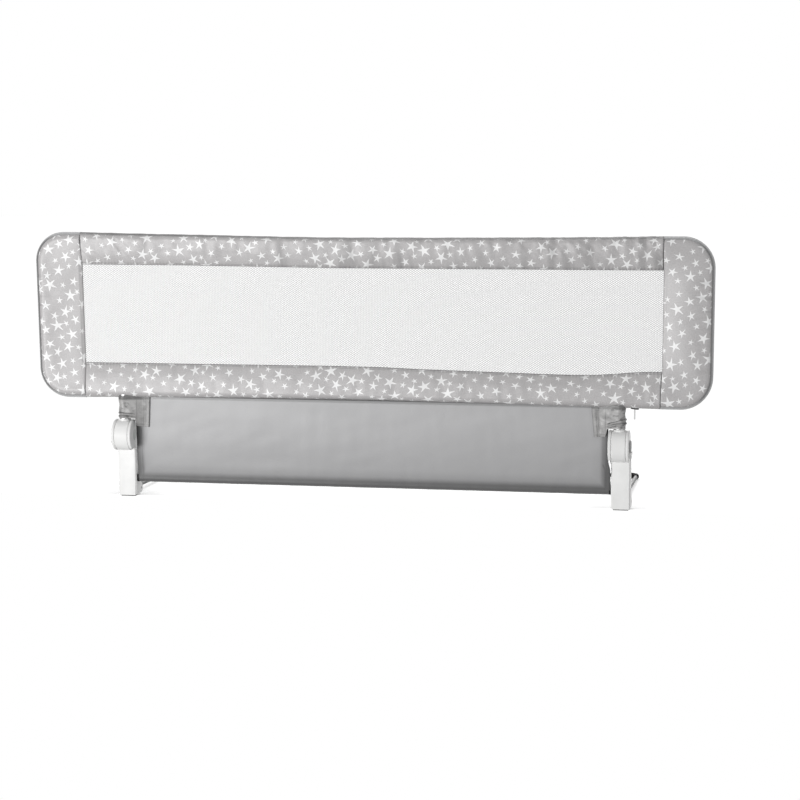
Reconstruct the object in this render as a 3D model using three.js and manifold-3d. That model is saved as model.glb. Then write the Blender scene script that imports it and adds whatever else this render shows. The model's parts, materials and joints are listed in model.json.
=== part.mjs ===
// Folding bed guard rail: a tube frame in a fabric cover with a net window, which swings down in front
// of two moulded legs, and a base that folds up behind them. Millimetres, +Z up, the front towards -Y.
// Every piece is laid out from the hinge line: y = 0 lies on it and z = 0 is the floor. The finished
// group is moved along Y so that its origin is the middle of its footprint.
import * as THREE from 'three';
import { mergeVertices } from 'three/addons/utils/BufferGeometryUtils.js';
import Module from 'manifold-3d';

const wasm = await Module();
wasm.setup();

// Whole rail
const LENGTH = 1500;
const PANEL_TOP = 590;
const PANEL_BOTTOM = 227;
const TOP_BAND = 72;
const BOTTOM_BAND = 78;
const END_PIECE = 108; // from the rail's end to the seam of its end piece
const FIT = 0.3; // between two pieces that touch
const RUNNING = 0.4; // round a piece that turns or slides
const OVERRUN = 5; // by which a cutting tool passes the face that it cuts

// Tube frame
const TUBE_R = 9.5;
const TUBE_WALL = 1.2;
const BEND_R = 50;
const BEND_STEPS = 6;
const JOINT_INSET = 154.5; // from the leg's middle to where the end bow meets the joiner
const NECK_LENGTH = 45;
const SNAP_R = 3.2;
const SNAP_RISE = 0.6;
const SNAP_INSET = 22; // from the end of the bow to the snap button

// Fabric cover
const SLEEVE_CLEARANCE = 1;
const SLEEVE_R = 13;
const SEAM_HALF = 1.8; // half the thickness of the cover along the window
const PIPING_R = 1.9;
const NET_THICKNESS = 1.2;
const NET_STRAND = 3.2;
const NET_COLUMNS = 30;
const NET_ROWS = 5;

// Hinge
const HINGE_Z = 142.5;
const BARREL_R = 34.5;
const BARREL_WIDTH = 30.6;
const BARREL_CHAMFER = 1.2;
const INNER_CHEEK = 6.5;
const OUTER_CHEEK = 6;
const CHEEK_R = 34.8;
const CHEEK_PROUD = 3.5; // inner cheek beyond the leg's inner face
const PIN_R = 4;
const PIN_CAP_R = 12;
const PIN_CAP_DEPTH = 1.6;
const BUTTON_R = 13;
const BUTTON_THICKNESS = 5.2;
const BUTTON_PROUD = 4;
const BUTTON_POCKET = 4.5;
const BUTTON_LEG_R = 1.8;
const BUTTON_LEG_CIRCLE = 8;
const BUTTON_LEGS = 3;
const LOCK_R = 12;
const LOCK_THICKNESS = 3.3;
const LOCK_POCKET = 10;
const LIP_RISE = 5;
const LIP_INNER_R = 15;
const LIP_OUTER_R = 29;
const COLLAR_R = 13.4;
const COLLAR_RISE = 1.5;

// Uprights and the fabric ears round them
const UPRIGHT_R = 11;
const UPRIGHT_WALL = 1.5;
const SOCKET_FLOOR = 14; // above the hinge line
const UPRIGHT_SCREW_Z = 24; // above the hinge line
const EAR_LAP = 32; // of the ear's lower end over the skirt
const EAR_SLANT = 5.5; // by which its inner edge leans to the middle at the top
const EAR_SKIN = 1.6;
const EAR_START = 1.5; // above the collar
const EAR_DROP = 20; // by which the ear's inner corner hangs below its end on the upright
const EAR_FOLDS = 2;
const EAR_FOLD_PITCH = 6.5;
const EAR_FOLD_RISE = 1.1;

// Legs
const LEG_INSET = 195.5; // from the rail's end to the leg's middle
const LEG_WIDTH = 42;
const LEG_FRONT = 16;
const LEG_BACK = 42;
const LEG_EDGE = 3;
const LEG_WALL = 3;
const LEG_SHOULDER = 57; // below the hinge line, where the cheeks run out into the leg
const SOLE = 2.6;
const PAD_RECESS = 1.2;
const PAD_MARGIN = 4;
const COVER_PLATE = 2.4;
const POCKET_BOTTOM = 33;
const POCKET_TOP = 103;
const SCREW_R = 1.8;
const SCREW_HEAD_R = 3.4;
const SCREW_HEAD = 1.4;
const SCREW_LENGTH = 6;

// Folding base
const PIVOT_Y = 52;
const PIVOT_Z = 15.1;
const LUG_R = 12.5;
const BASE_BARREL_WIDTH = 18;
const BASE_PIN_R = 3;
const BASE_REACH = 428; // from the hinge line's foot to the back of the base, less the pivot
const BASE_TUBE_R = 4.5;
const BASE_WALL = 1.2;
const ELBOW_R = 7;
const ELBOW_BEND_R = 12;
const ELBOW_ARM = 24;
const ELBOW_SOCKET = 16;
const BASE_SLEEVE_R = 6.5;
const BASE_SLEEVE_LENGTH = 90;

// Skirt
const SKIRT_GAP = 1.5; // between the skirt's side edge and the hinge cheek
const SKIRT_CLOTH = 2;
const SKIRT_AT_HINGE = 13.5; // behind the hinge line
const HEM_Y = 28;
const HEM_Z = 41.5;
const HEM_R = 8.5;
const HEM_ROD_R = 6;
const HEM_ROD_WALL = 1;
const HEM_ROD_GRIP = 12; // of the rod inside the leg
const HEM_COLLAR_R = 9;

// Zip
const ZIP_PARK = 28.5; // from the leg's middle to the closed slider
const ZIP_TAPE = 0.9;
const ZIP_TAPE_TOP = 238;
const ZIP_TAPE_BOTTOM = 226;
const SLIDER_HANG = 6; // below the tape's edge
const SLIDER_LENGTH = 17;
const SLIDER_HEIGHT = 8;
const SLIDER_DEPTH = 4;
const PULLER_LENGTH = 23;
const PULLER_WIDTH = 3.4;
const PULLER_THICKNESS = 1.4;
const PULLER_PIN_R = 0.8;

// Places that follow from the sizes above
const LEG_X = LENGTH / 2 - LEG_INSET;
const SEAM_X = LENGTH / 2 - END_PIECE;
const JOINT_X = LEG_X - JOINT_INSET;
const ZIP_X = LEG_X + ZIP_PARK;
const WINDOW_TOP = PANEL_TOP - TOP_BAND;
const WINDOW_BOTTOM = PANEL_BOTTOM + BOTTOM_BAND;
const CHEEK_INNER = -LEG_WIDTH / 2 - CHEEK_PROUD; // along X from the leg's middle, outwards
const BARREL_INNER = CHEEK_INNER + INNER_CHEEK + RUNNING;
const BARREL_OUTER = BARREL_INNER + BARREL_WIDTH;
const CHEEK_OUTER = BARREL_OUTER + RUNNING + OUTER_CHEEK;
const UPRIGHT_X = LEG_X + (BARREL_INNER + BARREL_OUTER) / 2;
const SKIRT_X = LEG_X + CHEEK_INNER - SKIRT_GAP;
const EAR_INNER_X = SKIRT_X - EAR_LAP;
const BORE_R = TUBE_R + SLEEVE_CLEARANCE;
const RIM = SLEEVE_R + FIT + 2 * PIPING_R; // from the tube's middle to the rail's outer edge
const BOW_X = LENGTH / 2 - RIM;
const BOW_TOP = PANEL_TOP - RIM;
const BOW_BOTTOM = PANEL_BOTTOM + RIM;
const BASE_BAR_Z = ELBOW_R;
const BASE_ARM = Math.hypot(BASE_REACH - ELBOW_R, PIVOT_Z - BASE_BAR_Z);
const BASE_SLOPE = Math.atan2(PIVOT_Z - BASE_BAR_Z, BASE_REACH - ELBOW_R);
const FRONT_Y = -CHEEK_R;
const REAR_Y = PIVOT_Y + BASE_ARM * Math.cos(BASE_SLOPE) + ELBOW_R;

// Colours
const FINISHES = {
  white: { color: 0xf2f2ef, roughness: 0.42, metalness: 0 },
  cap: { color: 0xc9cfc8, roughness: 0.5, metalness: 0 },
  button: { color: 0x9a9c9c, roughness: 0.45, metalness: 0 },
  black: { color: 0x1c1d1f, roughness: 0.5, metalness: 0 },
  rubber: { color: 0x2a2a2b, roughness: 0.9, metalness: 0 },
  steel: { color: 0xb9bcbf, roughness: 0.3, metalness: 1 },
  painted: { color: 0x26272a, roughness: 0.4, metalness: 0.3 },
  grey: { color: 0xb4b5b6, roughness: 0.85, metalness: 0 },
  skirt: { color: 0xa9aaac, roughness: 0.6, metalness: 0 },
  piping: { color: 0xd3d4d5, roughness: 0.8, metalness: 0 },
  net: { color: 0xf1f2f3, roughness: 0.8, metalness: 0 },
};
const materials = {};
for (const [name, look] of Object.entries(FINISHES)) {
  materials[name] = new THREE.MeshStandardMaterial({ name, ...look });
}

// Closed solids and what is done with them

// The solid inside a closed geometry, for joining and cutting.
function solid(geometry) {
  const bare = geometry.clone();
  bare.deleteAttribute('normal');
  bare.deleteAttribute('uv');
  const merged = mergeVertices(bare, 1e-4);
  const triVerts = new Uint32Array(merged.index.array);
  const mesh = new wasm.Mesh({
    numProp: 3,
    vertProperties: new Float32Array(merged.attributes.position.array),
    triVerts,
  });
  mesh.merge();
  return new wasm.Manifold(mesh);
}

// The faceted surface of a solid.
function surface(body) {
  const mesh = body.getMesh();
  const points = new Float32Array((mesh.vertProperties.length / mesh.numProp) * 3);
  for (let i = 0; i < points.length / 3; i += 1) {
    points.set(mesh.vertProperties.subarray(i * mesh.numProp, i * mesh.numProp + 3), 3 * i);
  }
  const geometry = new THREE.BufferGeometry();
  geometry.setAttribute('position', new THREE.BufferAttribute(points, 3));
  geometry.setIndex(new THREE.BufferAttribute(new Uint32Array(mesh.triVerts), 1));
  geometry.computeVertexNormals();
  return geometry;
}

function join(first, ...rest) {
  return rest.reduce((body, next) => body.add(next), first);
}

function cut(first, ...rest) {
  return rest.reduce((body, next) => body.subtract(next), first);
}

// The left-hand twin of a right-hand geometry.
function mirrored(geometry) {
  const twin = geometry.clone().scale(-1, 1, 1);
  const order = twin.index.array;
  for (let i = 0; i < order.length; i += 3) {
    const keep = order[i];
    order[i] = order[i + 1];
    order[i + 1] = keep;
  }
  twin.computeVertexNormals();
  return twin;
}

// An outline drawn in (y, z), run along X. A bevel rounds the edges inside the outline.
function alongX(shape, from, to, bevel = 0, curveSegments = 8) {
  const geometry = new THREE.ExtrudeGeometry(shape, {
    depth: to - from - 2 * bevel,
    bevelEnabled: bevel > 0,
    bevelThickness: bevel,
    bevelSize: bevel,
    bevelOffset: -bevel,
    bevelSegments: 1,
    curveSegments,
  });
  geometry.translate(0, 0, from + bevel);
  const turn = new THREE.Matrix4().set(0, 0, 1, 0, 1, 0, 0, 0, 0, 1, 0, 0, 0, 0, 0, 1);
  geometry.applyMatrix4(turn);
  return solid(geometry);
}

// An outline drawn in (x, z), run along Y.
function alongY(shape, from, to, curveSegments = 12) {
  const geometry = new THREE.ExtrudeGeometry(shape, { depth: to - from, bevelEnabled: false, curveSegments });
  geometry.rotateX(Math.PI / 2);
  geometry.translate(0, to, 0);
  return solid(geometry);
}

// A profile of [radius, height] pairs turned about the Z axis.
function turned(profile, sides = 20) {
  const points = profile.map(([r, z]) => new THREE.Vector2(r, z));
  const geometry = new THREE.LatheGeometry(points, sides);
  geometry.applyMatrix4(new THREE.Matrix4().set(0, 0, 1, 0, 1, 0, 0, 0, 0, 1, 0, 0, 0, 0, 0, 1));
  return solid(geometry);
}

// A turned solid laid along the X axis through (y, z), its heights becoming x.
function turnedAlongX(profile, y, z, sides = 16) {
  const points = profile.map(([r, x]) => new THREE.Vector2(r, x));
  const geometry = new THREE.LatheGeometry(points, sides);
  const turn = new THREE.Matrix4().set(0, 1, 0, 0, 0, 0, 1, 0, 1, 0, 0, 0, 0, 0, 0, 1);
  geometry.applyMatrix4(turn);
  geometry.translate(0, y, z);
  return solid(geometry);
}

// A plain cylinder along X.
function pinAlongX(radius, from, to, y, z, sides = 16) {
  return turnedAlongX([[0, from], [radius, from], [radius, to], [0, to]], y, z, sides);
}

// A plain cylinder along Y.
function pinAlongY(radius, from, to, x, z, sides = 12) {
  const geometry = new THREE.CylinderGeometry(radius, radius, to - from, sides);
  geometry.translate(x, (from + to) / 2, z);
  return solid(geometry);
}

// A plain cylinder along Z.
function pinAlongZ(radius, from, to, x, y, sides = 20) {
  return turned([[0, from], [radius, from], [radius, to], [0, to]], sides).translate([x, y, 0]);
}

function block(x0, x1, y0, y1, z0, z1) {
  const geometry = new THREE.BoxGeometry(x1 - x0, y1 - y0, z1 - z0);
  geometry.translate((x0 + x1) / 2, (y0 + y1) / 2, (z0 + z1) / 2);
  return solid(geometry);
}

// A path through stations that are kept as they are, so that straight runs take one step.
class Route extends THREE.Curve {
  constructor(stations) {
    super();
    this.stations = stations;
  }

  getPoint(share) {
    const at = share * (this.stations.length - 1);
    const index = Math.min(Math.floor(at), this.stations.length - 2);
    return this.stations[index].point.clone().lerp(this.stations[index + 1].point, at - index);
  }

  getTangent(share) {
    const index = Math.round(share * (this.stations.length - 1));
    return this.stations[index].along.clone();
  }

  getUtoTmapping(share) {
    return share;
  }
}

// Stations of a path in the XZ plane that runs straight between corners and round each corner's arc.
function bentPath(corners, radius, y, steps) {
  const stations = [];
  const at = ([x, z]) => new THREE.Vector3(x, y, z);
  const points = corners.map(at);
  const heading = (i) => points[i + 1].clone().sub(points[i]).normalize();
  stations.push({ point: points[0], along: heading(0) });
  for (let i = 1; i < points.length - 1; i += 1) {
    const before = heading(i - 1);
    const after = heading(i);
    const start = points[i].clone().addScaledVector(before, -radius);
    const centre = start.clone().addScaledVector(after, radius);
    for (let k = 0; k <= steps; k += 1) {
      const angle = (k / steps) * (Math.PI / 2);
      const point = centre.clone().addScaledVector(after, -radius * Math.cos(angle));
      point.addScaledVector(before, radius * Math.sin(angle));
      const along = before.clone().multiplyScalar(Math.cos(angle));
      along.addScaledVector(after, Math.sin(angle)).normalize();
      stations.push({ point, along });
    }
  }
  const last = points.length - 1;
  stations.push({ point: points[last], along: heading(last - 1) });
  return stations;
}

// A round bar or, with a bore, a tube swept along stations.
function swept(stations, radius, bore = 0, sides = 16) {
  const ring = new THREE.Shape();
  ring.absarc(0, 0, radius, 0, 2 * Math.PI);
  if (bore > 0) {
    const hole = new THREE.Path();
    hole.absarc(0, 0, bore, 0, 2 * Math.PI, true);
    ring.holes.push(hole);
  }
  const geometry = new THREE.ExtrudeGeometry(ring, {
    steps: stations.length - 1,
    extrudePath: new Route(stations),
    bevelEnabled: false,
    curveSegments: sides / 2,
  });
  return outward(geometry);
}

// The solid of a swept surface, whichever way its faces came out.
function outward(geometry) {
  const body = solid(geometry);
  if (body.volume() > 0) {
    return body;
  }
  const bare = geometry.clone();
  const places = bare.attributes.position;
  for (let i = 0; i < places.count; i += 3) {
    const keep = new THREE.Vector3().fromBufferAttribute(places, i);
    const other = new THREE.Vector3().fromBufferAttribute(places, i + 1);
    places.setXYZ(i, other.x, other.y, other.z);
    places.setXYZ(i + 1, keep.x, keep.y, keep.z);
  }
  return solid(bare);
}

// A closed solid through sections of equal counts, the two end ones convex and capped.
function lofted(sections) {
  const count = sections[0].length;
  const order = [];
  for (let i = 0; i < sections.length - 1; i += 1) {
    for (let k = 0; k < count; k += 1) {
      const here = i * count + k;
      const next = i * count + ((k + 1) % count);
      order.push(here, next, here + count, next, next + count, here + count);
    }
  }
  const last = (sections.length - 1) * count;
  for (let k = 1; k < count - 1; k += 1) {
    order.push(0, k + 1, k, last, last + k, last + k + 1);
  }
  const geometry = new THREE.BufferGeometry().setFromPoints(sections.flat());
  geometry.setIndex(order);
  return outward(geometry.toNonIndexed());
}

// The tree of pieces
const rail = new THREE.Group();
const model = new THREE.Group();
model.position.y = -(FRONT_Y + REAR_Y) / 2;
rail.add(model);

function add(name, body, finish, parent = model) {
  const geometry = body.isBufferGeometry ? body : surface(body);
  const mesh = new THREE.Mesh(geometry, materials[finish]);
  mesh.name = name;
  parent.add(mesh);
  return mesh;
}

// A right-hand piece and its mirrored left-hand twin.
function addPair(name, body, finish, parents = [model, model]) {
  const geometry = surface(body);
  add(`${name}_right`, geometry, finish, parents[0]);
  add(`${name}_left`, mirrored(geometry), finish, parents[1]);
}

// Frame of the guard

function bowPath() {
  const corners = [[JOINT_X, BOW_TOP], [BOW_X, BOW_TOP], [BOW_X, BOW_BOTTOM], [JOINT_X, BOW_BOTTOM]];
  return bentPath(corners, BEND_R, 0, BEND_STEPS);
}

// Snap buttons face the inside of the frame, so that a thumb reaches them through the cover.
function snapHole(z, side) {
  const radius = SNAP_R + RUNNING;
  const reach = TUBE_R + OVERRUN;
  return pinAlongZ(radius, Math.min(z, z + side * reach), Math.max(z, z + side * reach), snapX(), 0, 12);
}

function snapX() {
  return JOINT_X + SNAP_INSET;
}

function bow() {
  const tube = swept(bowPath(), TUBE_R, TUBE_R - TUBE_WALL, 14);
  return cut(tube, snapHole(BOW_TOP, -1), snapHole(BOW_BOTTOM, 1));
}

// A joiner tube whose narrowed ends slide into the bows.
function joiner(z, side) {
  const neckR = TUBE_R - TUBE_WALL - FIT;
  const bore = TUBE_R - TUBE_WALL;
  const neckBore = neckR - TUBE_WALL;
  const end = JOINT_X + NECK_LENGTH;
  const shoulder = JOINT_X - FIT;
  const taper = JOINT_X - NECK_LENGTH / 3;
  const profile = [
    [neckBore, -end], [neckR, -end], [neckR, -shoulder], [TUBE_R, -shoulder],
    [TUBE_R, shoulder], [neckR, shoulder], [neckR, end], [neckBore, end],
    [neckBore, shoulder], [bore, taper], [bore, -taper], [neckBore, -shoulder], [neckBore, -end],
  ];
  const hole = snapHole(z, side);
  const tube = turnedAlongX(profile, 0, z, 16);
  return cut(tube, hole, hole.mirror([1, 0, 0]));
}

function snap(z, side) {
  const neckBore = TUBE_R - 2 * TUBE_WALL - FIT;
  const tip = TUBE_R + SNAP_RISE;
  const root = neckBore - TUBE_WALL;
  const profile = [[0, root], [SNAP_R, root], [SNAP_R, TUBE_R], [SNAP_R - SNAP_RISE, tip], [0, tip]];
  const button = turned(profile, 12);
  const facing = side > 0 ? button : button.rotate([180, 0, 0]);
  return facing.translate([snapX(), 0, z]);
}

// The upright's top is notched to sit under the lower tube of the bow, where it is welded.
function upright() {
  const bottom = HINGE_Z + SOCKET_FLOOR + FIT;
  const tube = cut(
    pinAlongZ(UPRIGHT_R, bottom, BOW_BOTTOM, UPRIGHT_X, 0),
    pinAlongZ(UPRIGHT_R - UPRIGHT_WALL, bottom - OVERRUN, BOW_BOTTOM + OVERRUN, UPRIGHT_X, 0),
  );
  const saddle = pinAlongX(TUBE_R + FIT, JOINT_X, BOW_X, 0, BOW_BOTTOM);
  const screwZ = HINGE_Z + UPRIGHT_SCREW_Z;
  return cut(tube, saddle, pinAlongY(SCREW_R + RUNNING, 0, BARREL_R, UPRIGHT_X, screwZ));
}

// Hinge

function knuckle() {
  const inner = LEG_X + BARREL_INNER;
  const outer = LEG_X + BARREL_OUTER;
  const edge = BARREL_CHAMFER;
  const barrel = turnedAlongX([
    [0, inner], [BARREL_R - edge, inner], [BARREL_R, inner + edge],
    [BARREL_R, outer - edge], [BARREL_R - edge, outer], [0, outer],
  ], 0, HINGE_Z, 32);
  const top = HINGE_Z + BARREL_R;
  const dome = turned([
    [0, HINGE_Z + SOCKET_FLOOR], [COLLAR_R, HINGE_Z + SOCKET_FLOOR], [COLLAR_R, top + COLLAR_RISE / 3],
    [COLLAR_R - COLLAR_RISE / 4, top + COLLAR_RISE * 0.8], [COLLAR_R - COLLAR_RISE / 2, top + COLLAR_RISE],
    [0, top + COLLAR_RISE],
  ]).translate([UPRIGHT_X, 0, 0]);
  const socketR = UPRIGHT_R + FIT;
  const screwZ = HINGE_Z + UPRIGHT_SCREW_Z;
  const headSeat = Math.sqrt(BARREL_R ** 2 - UPRIGHT_SCREW_Z ** 2) - SCREW_HEAD - FIT;
  return cut(
    join(barrel, dome),
    pinAlongZ(socketR, HINGE_Z + SOCKET_FLOOR, top + COLLAR_RISE + OVERRUN, UPRIGHT_X, 0),
    pinAlongX(PIN_R + FIT, inner - OVERRUN, outer + OVERRUN, 0, HINGE_Z),
    pinAlongX(LOCK_R + RUNNING, outer - LOCK_POCKET, outer + OVERRUN, 0, HINGE_Z),
    pinAlongY(SCREW_R + FIT, 0, BARREL_R + OVERRUN, UPRIGHT_X, screwZ),
    pinAlongY(SCREW_HEAD_R + FIT, headSeat, BARREL_R + OVERRUN, UPRIGHT_X, screwZ),
  );
}

function uprightScrew() {
  const headSeat = Math.sqrt(BARREL_R ** 2 - UPRIGHT_SCREW_Z ** 2) - SCREW_HEAD;
  const tip = UPRIGHT_R - UPRIGHT_WALL - FIT;
  const z = HINGE_Z + UPRIGHT_SCREW_Z;
  return join(
    pinAlongY(SCREW_R, tip - SCREW_HEAD, headSeat + SCREW_HEAD, UPRIGHT_X, z, 8),
    pinAlongY(SCREW_HEAD_R, headSeat, headSeat + SCREW_HEAD, UPRIGHT_X, z, 8),
  );
}

function hingePin() {
  const from = LEG_X + CHEEK_INNER + PIN_CAP_DEPTH + FIT;
  const to = LEG_X + CHEEK_OUTER - BUTTON_POCKET - FIT;
  return pinAlongX(PIN_R, from, to, 0, HINGE_Z);
}

function pinCap() {
  const from = LEG_X + CHEEK_INNER;
  return pinAlongX(PIN_CAP_R, from, from + PIN_CAP_DEPTH, 0, HINGE_Z, 20);
}

// Pockets of the cheeks: the barrel's room, the pin's bore, the cap's recess and the button's bore.
function hingeRoom() {
  const inner = LEG_X + BARREL_INNER - RUNNING;
  const outer = LEG_X + BARREL_OUTER + RUNNING;
  const capFloor = LEG_X + CHEEK_INNER + PIN_CAP_DEPTH + FIT;
  const buttonFloor = LEG_X + CHEEK_OUTER - BUTTON_POCKET;
  const faceOut = LEG_X + CHEEK_OUTER + OVERRUN;
  const cuts = [
    pinAlongX(BARREL_R + 2 * RUNNING, inner, outer, 0, HINGE_Z, 32),
    pinAlongX(PIN_R + FIT, capFloor - OVERRUN, faceOut, 0, HINGE_Z),
    pinAlongX(PIN_CAP_R + FIT, LEG_X + CHEEK_INNER - OVERRUN, capFloor, 0, HINGE_Z, 20),
    pinAlongX(BUTTON_R + RUNNING, buttonFloor, faceOut, 0, HINGE_Z, 24),
  ];
  for (const [y, z] of buttonLegPlaces()) {
    cuts.push(pinAlongX(BUTTON_LEG_R + RUNNING, outer - OVERRUN, faceOut, y, z, 8));
  }
  return cuts;
}

function buttonLegPlaces() {
  const places = [];
  for (let i = 0; i < BUTTON_LEGS; i += 1) {
    const angle = Math.PI / 2 + (i * 2 * Math.PI) / BUTTON_LEGS;
    places.push([BUTTON_LEG_CIRCLE * Math.cos(angle), HINGE_Z + BUTTON_LEG_CIRCLE * Math.sin(angle)]);
  }
  return places;
}

// The button's three legs pass through the cheek's web and bear on the lock ring in the barrel.
function releaseButton() {
  const face = LEG_X + CHEEK_OUTER + BUTTON_PROUD;
  const back = face - BUTTON_THICKNESS;
  const edge = BUTTON_THICKNESS / 4;
  const cap = turnedAlongX([
    [0, back], [BUTTON_R, back], [BUTTON_R, face - edge], [BUTTON_R - edge, face],
    [BUTTON_R / 2, face - edge / 2], [0, face - edge],
  ], 0, HINGE_Z, 24);
  const tip = LEG_X + BARREL_OUTER - RUNNING;
  const legs = buttonLegPlaces().map(([y, z]) => pinAlongX(BUTTON_LEG_R, tip, back + edge, y, z, 8));
  return join(cap, ...legs);
}

function lockRing() {
  const outer = LEG_X + BARREL_OUTER - RUNNING - FIT;
  const inner = outer - LOCK_THICKNESS;
  const bore = PIN_R + RUNNING;
  const profile = [[bore, inner], [LOCK_R, inner], [LOCK_R, outer], [bore, outer], [bore, inner]];
  return turnedAlongX(profile, 0, HINGE_Z, 20);
}

// Legs

// Side outline of the leg: a straight front, a round lug at the back of the foot and a back that
// reaches up behind the barrel.
function legOutline() {
  const shape = new THREE.Shape();
  const lugTop = Math.PI * 0.4;
  shape.moveTo(LEG_FRONT, SOLE);
  shape.lineTo(PIVOT_Y, SOLE);
  shape.absarc(PIVOT_Y, PIVOT_Z, LUG_R, -Math.PI / 2, lugTop, false);
  shape.lineTo(LEG_BACK, PIVOT_Z + 2 * LUG_R);
  shape.lineTo(LEG_BACK, HINGE_Z - LEG_EDGE);
  shape.lineTo(LEG_BACK - LEG_EDGE, HINGE_Z);
  shape.lineTo(LEG_FRONT, HINGE_Z);
  shape.closePath();
  return shape;
}

// Side outline of a cheek: the disc round the hinge, run back and down into the leg.
function cheekOutline() {
  const shape = new THREE.Shape();
  const start = Math.asin(Math.sqrt(1 - (LEG_FRONT / CHEEK_R) ** 2));
  const end = Math.PI * 0.22;
  shape.moveTo(LEG_FRONT, HINGE_Z - LEG_SHOULDER);
  shape.absarc(0, HINGE_Z, CHEEK_R, -start, end, true);
  shape.lineTo(LEG_BACK, HINGE_Z);
  shape.lineTo(LEG_BACK, HINGE_Z - LEG_SHOULDER);
  shape.closePath();
  return shape;
}

// The inner cheek stands proud of the leg and runs out into it in a straight flank.
function cheekFlank() {
  const inner = LEG_X + CHEEK_INNER;
  const shape = new THREE.Shape();
  shape.moveTo(inner, HINGE_Z);
  shape.lineTo(inner, HINGE_Z - LEG_SHOULDER / 2);
  shape.lineTo(inner + CHEEK_PROUD, HINGE_Z - LEG_SHOULDER);
  shape.lineTo(inner + INNER_CHEEK, HINGE_Z - LEG_SHOULDER);
  shape.lineTo(inner + INNER_CHEEK, HINGE_Z);
  shape.closePath();
  return shape;
}

function cheeks() {
  const inner = LEG_X + CHEEK_INNER;
  const outer = LEG_X + CHEEK_OUTER;
  const edge = BARREL_CHAMFER;
  const tall = alongX(cheekOutline(), inner, inner + INNER_CHEEK, edge, 10);
  const flank = alongY(cheekFlank(), LEG_FRONT - OVERRUN, LEG_BACK + OVERRUN);
  const upper = block(inner, inner + INNER_CHEEK, -2 * CHEEK_R, 2 * CHEEK_R, HINGE_Z - LEG_SHOULDER / 2,
    HINGE_Z + 2 * CHEEK_R);
  const kept = join(tall.intersect(flank), tall.intersect(upper));
  return join(kept, alongX(cheekOutline(), outer - OUTER_CHEEK, outer, edge, 10));
}

// A crescent below the release button, for the fingers that press against it.
function fingerLip() {
  const face = LEG_X + CHEEK_OUTER;
  const ring = turnedAlongX([
    [LIP_INNER_R, face - edgeIntoCheek()], [LIP_OUTER_R, face - edgeIntoCheek()],
    [LIP_OUTER_R - LIP_RISE / 2, face + LIP_RISE], [LIP_INNER_R, face + LIP_RISE],
    [LIP_INNER_R, face - edgeIntoCheek()],
  ], 0, HINGE_Z, 24);
  const below = block(face - LEG_WIDTH, face + LEG_WIDTH, -LIP_OUTER_R, LIP_OUTER_R,
    HINGE_Z - 2 * LIP_OUTER_R, HINGE_Z - BUTTON_R);
  return ring.intersect(below);
}

function edgeIntoCheek() {
  return OUTER_CHEEK / 2;
}

function leg() {
  const inner = LEG_X - LEG_WIDTH / 2;
  const outer = LEG_X + LEG_WIDTH / 2;
  const body = join(alongX(legOutline(), inner, outer, LEG_EDGE), cheeks(), fingerLip());
  const slotHalf = BASE_BARREL_WIDTH / 2 + RUNNING;
  const slotTop = PIVOT_Z + LUG_R + BASE_TUBE_R;
  const slotBack = PIVOT_Y + 2 * LUG_R;
  const plateHalf = LEG_WIDTH / 2 - LEG_EDGE;
  const plateSeat = LEG_BACK - COVER_PLATE - FIT;
  const padHalf = LEG_WIDTH / 2 - PAD_MARGIN;
  const rodEnd = LEG_X - LEG_WIDTH / 2 + HEM_ROD_GRIP;
  const cuts = [
    ...hingeRoom(),
    block(LEG_X - slotHalf, LEG_X + slotHalf, PIVOT_Y - LUG_R - RUNNING, slotBack, -OVERRUN, slotTop),
    block(LEG_X - slotHalf, LEG_X + slotHalf, LEG_BACK + RUNNING, slotBack, slotTop - OVERRUN, PIVOT_Z + 3 * LUG_R),
    pinAlongX(BASE_PIN_R + FIT, inner - OVERRUN, outer + OVERRUN, PIVOT_Y, PIVOT_Z, 16),
    block(LEG_X - plateHalf, LEG_X + plateHalf, plateSeat, LEG_BACK + OVERRUN, POCKET_BOTTOM + LEG_EDGE,
      HINGE_Z - LEG_EDGE),
    block(LEG_X - plateHalf + LEG_WALL, LEG_X + plateHalf - LEG_WALL, LEG_FRONT + LEG_WALL, LEG_BACK,
      POCKET_BOTTOM + 2 * LEG_EDGE, POCKET_TOP),
    block(LEG_X - padHalf, LEG_X + padHalf, LEG_FRONT + PAD_MARGIN, padBack(), -OVERRUN, SOLE + PAD_RECESS),
    pinAlongX(HEM_ROD_R + FIT, inner - OVERRUN, rodEnd, HEM_Y, HEM_Z, 16),
  ];
  for (const z of coverScrewHeights()) {
    cuts.push(pinAlongY(SCREW_R + FIT, plateSeat - SCREW_LENGTH, LEG_BACK, LEG_X, z, 8));
  }
  const posts = coverScrewHeights().map((z) => pinAlongY(2 * SCREW_R + LEG_WALL, LEG_FRONT + LEG_WALL / 2,
    plateSeat, LEG_X, z, 10));
  const shell = cut(body, ...cuts.slice(0, -coverScrewHeights().length));
  return cut(join(shell, ...posts.slice(0, 1)), ...cuts.slice(-coverScrewHeights().length));
}

function padBack() {
  return PIVOT_Y - LUG_R - RUNNING - LEG_WALL;
}

function coverScrewHeights() {
  return [(POCKET_BOTTOM + POCKET_TOP) / 2, HINGE_Z - 4 * LEG_EDGE];
}

function legCover() {
  const half = LEG_WIDTH / 2 - LEG_EDGE - FIT;
  const bottom = POCKET_BOTTOM + LEG_EDGE + FIT;
  const top = HINGE_Z - LEG_EDGE - FIT;
  const plate = block(LEG_X - half, LEG_X + half, LEG_BACK - COVER_PLATE, LEG_BACK, bottom, top);
  const holes = coverScrewHeights().flatMap((z) => [
    pinAlongY(SCREW_R + FIT, LEG_FRONT, LEG_BACK + OVERRUN, LEG_X, z, 8),
    pinAlongY(SCREW_HEAD_R + FIT, LEG_BACK - SCREW_HEAD, LEG_BACK + OVERRUN, LEG_X, z, 10),
  ]);
  return cut(plate, ...holes);
}

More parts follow.
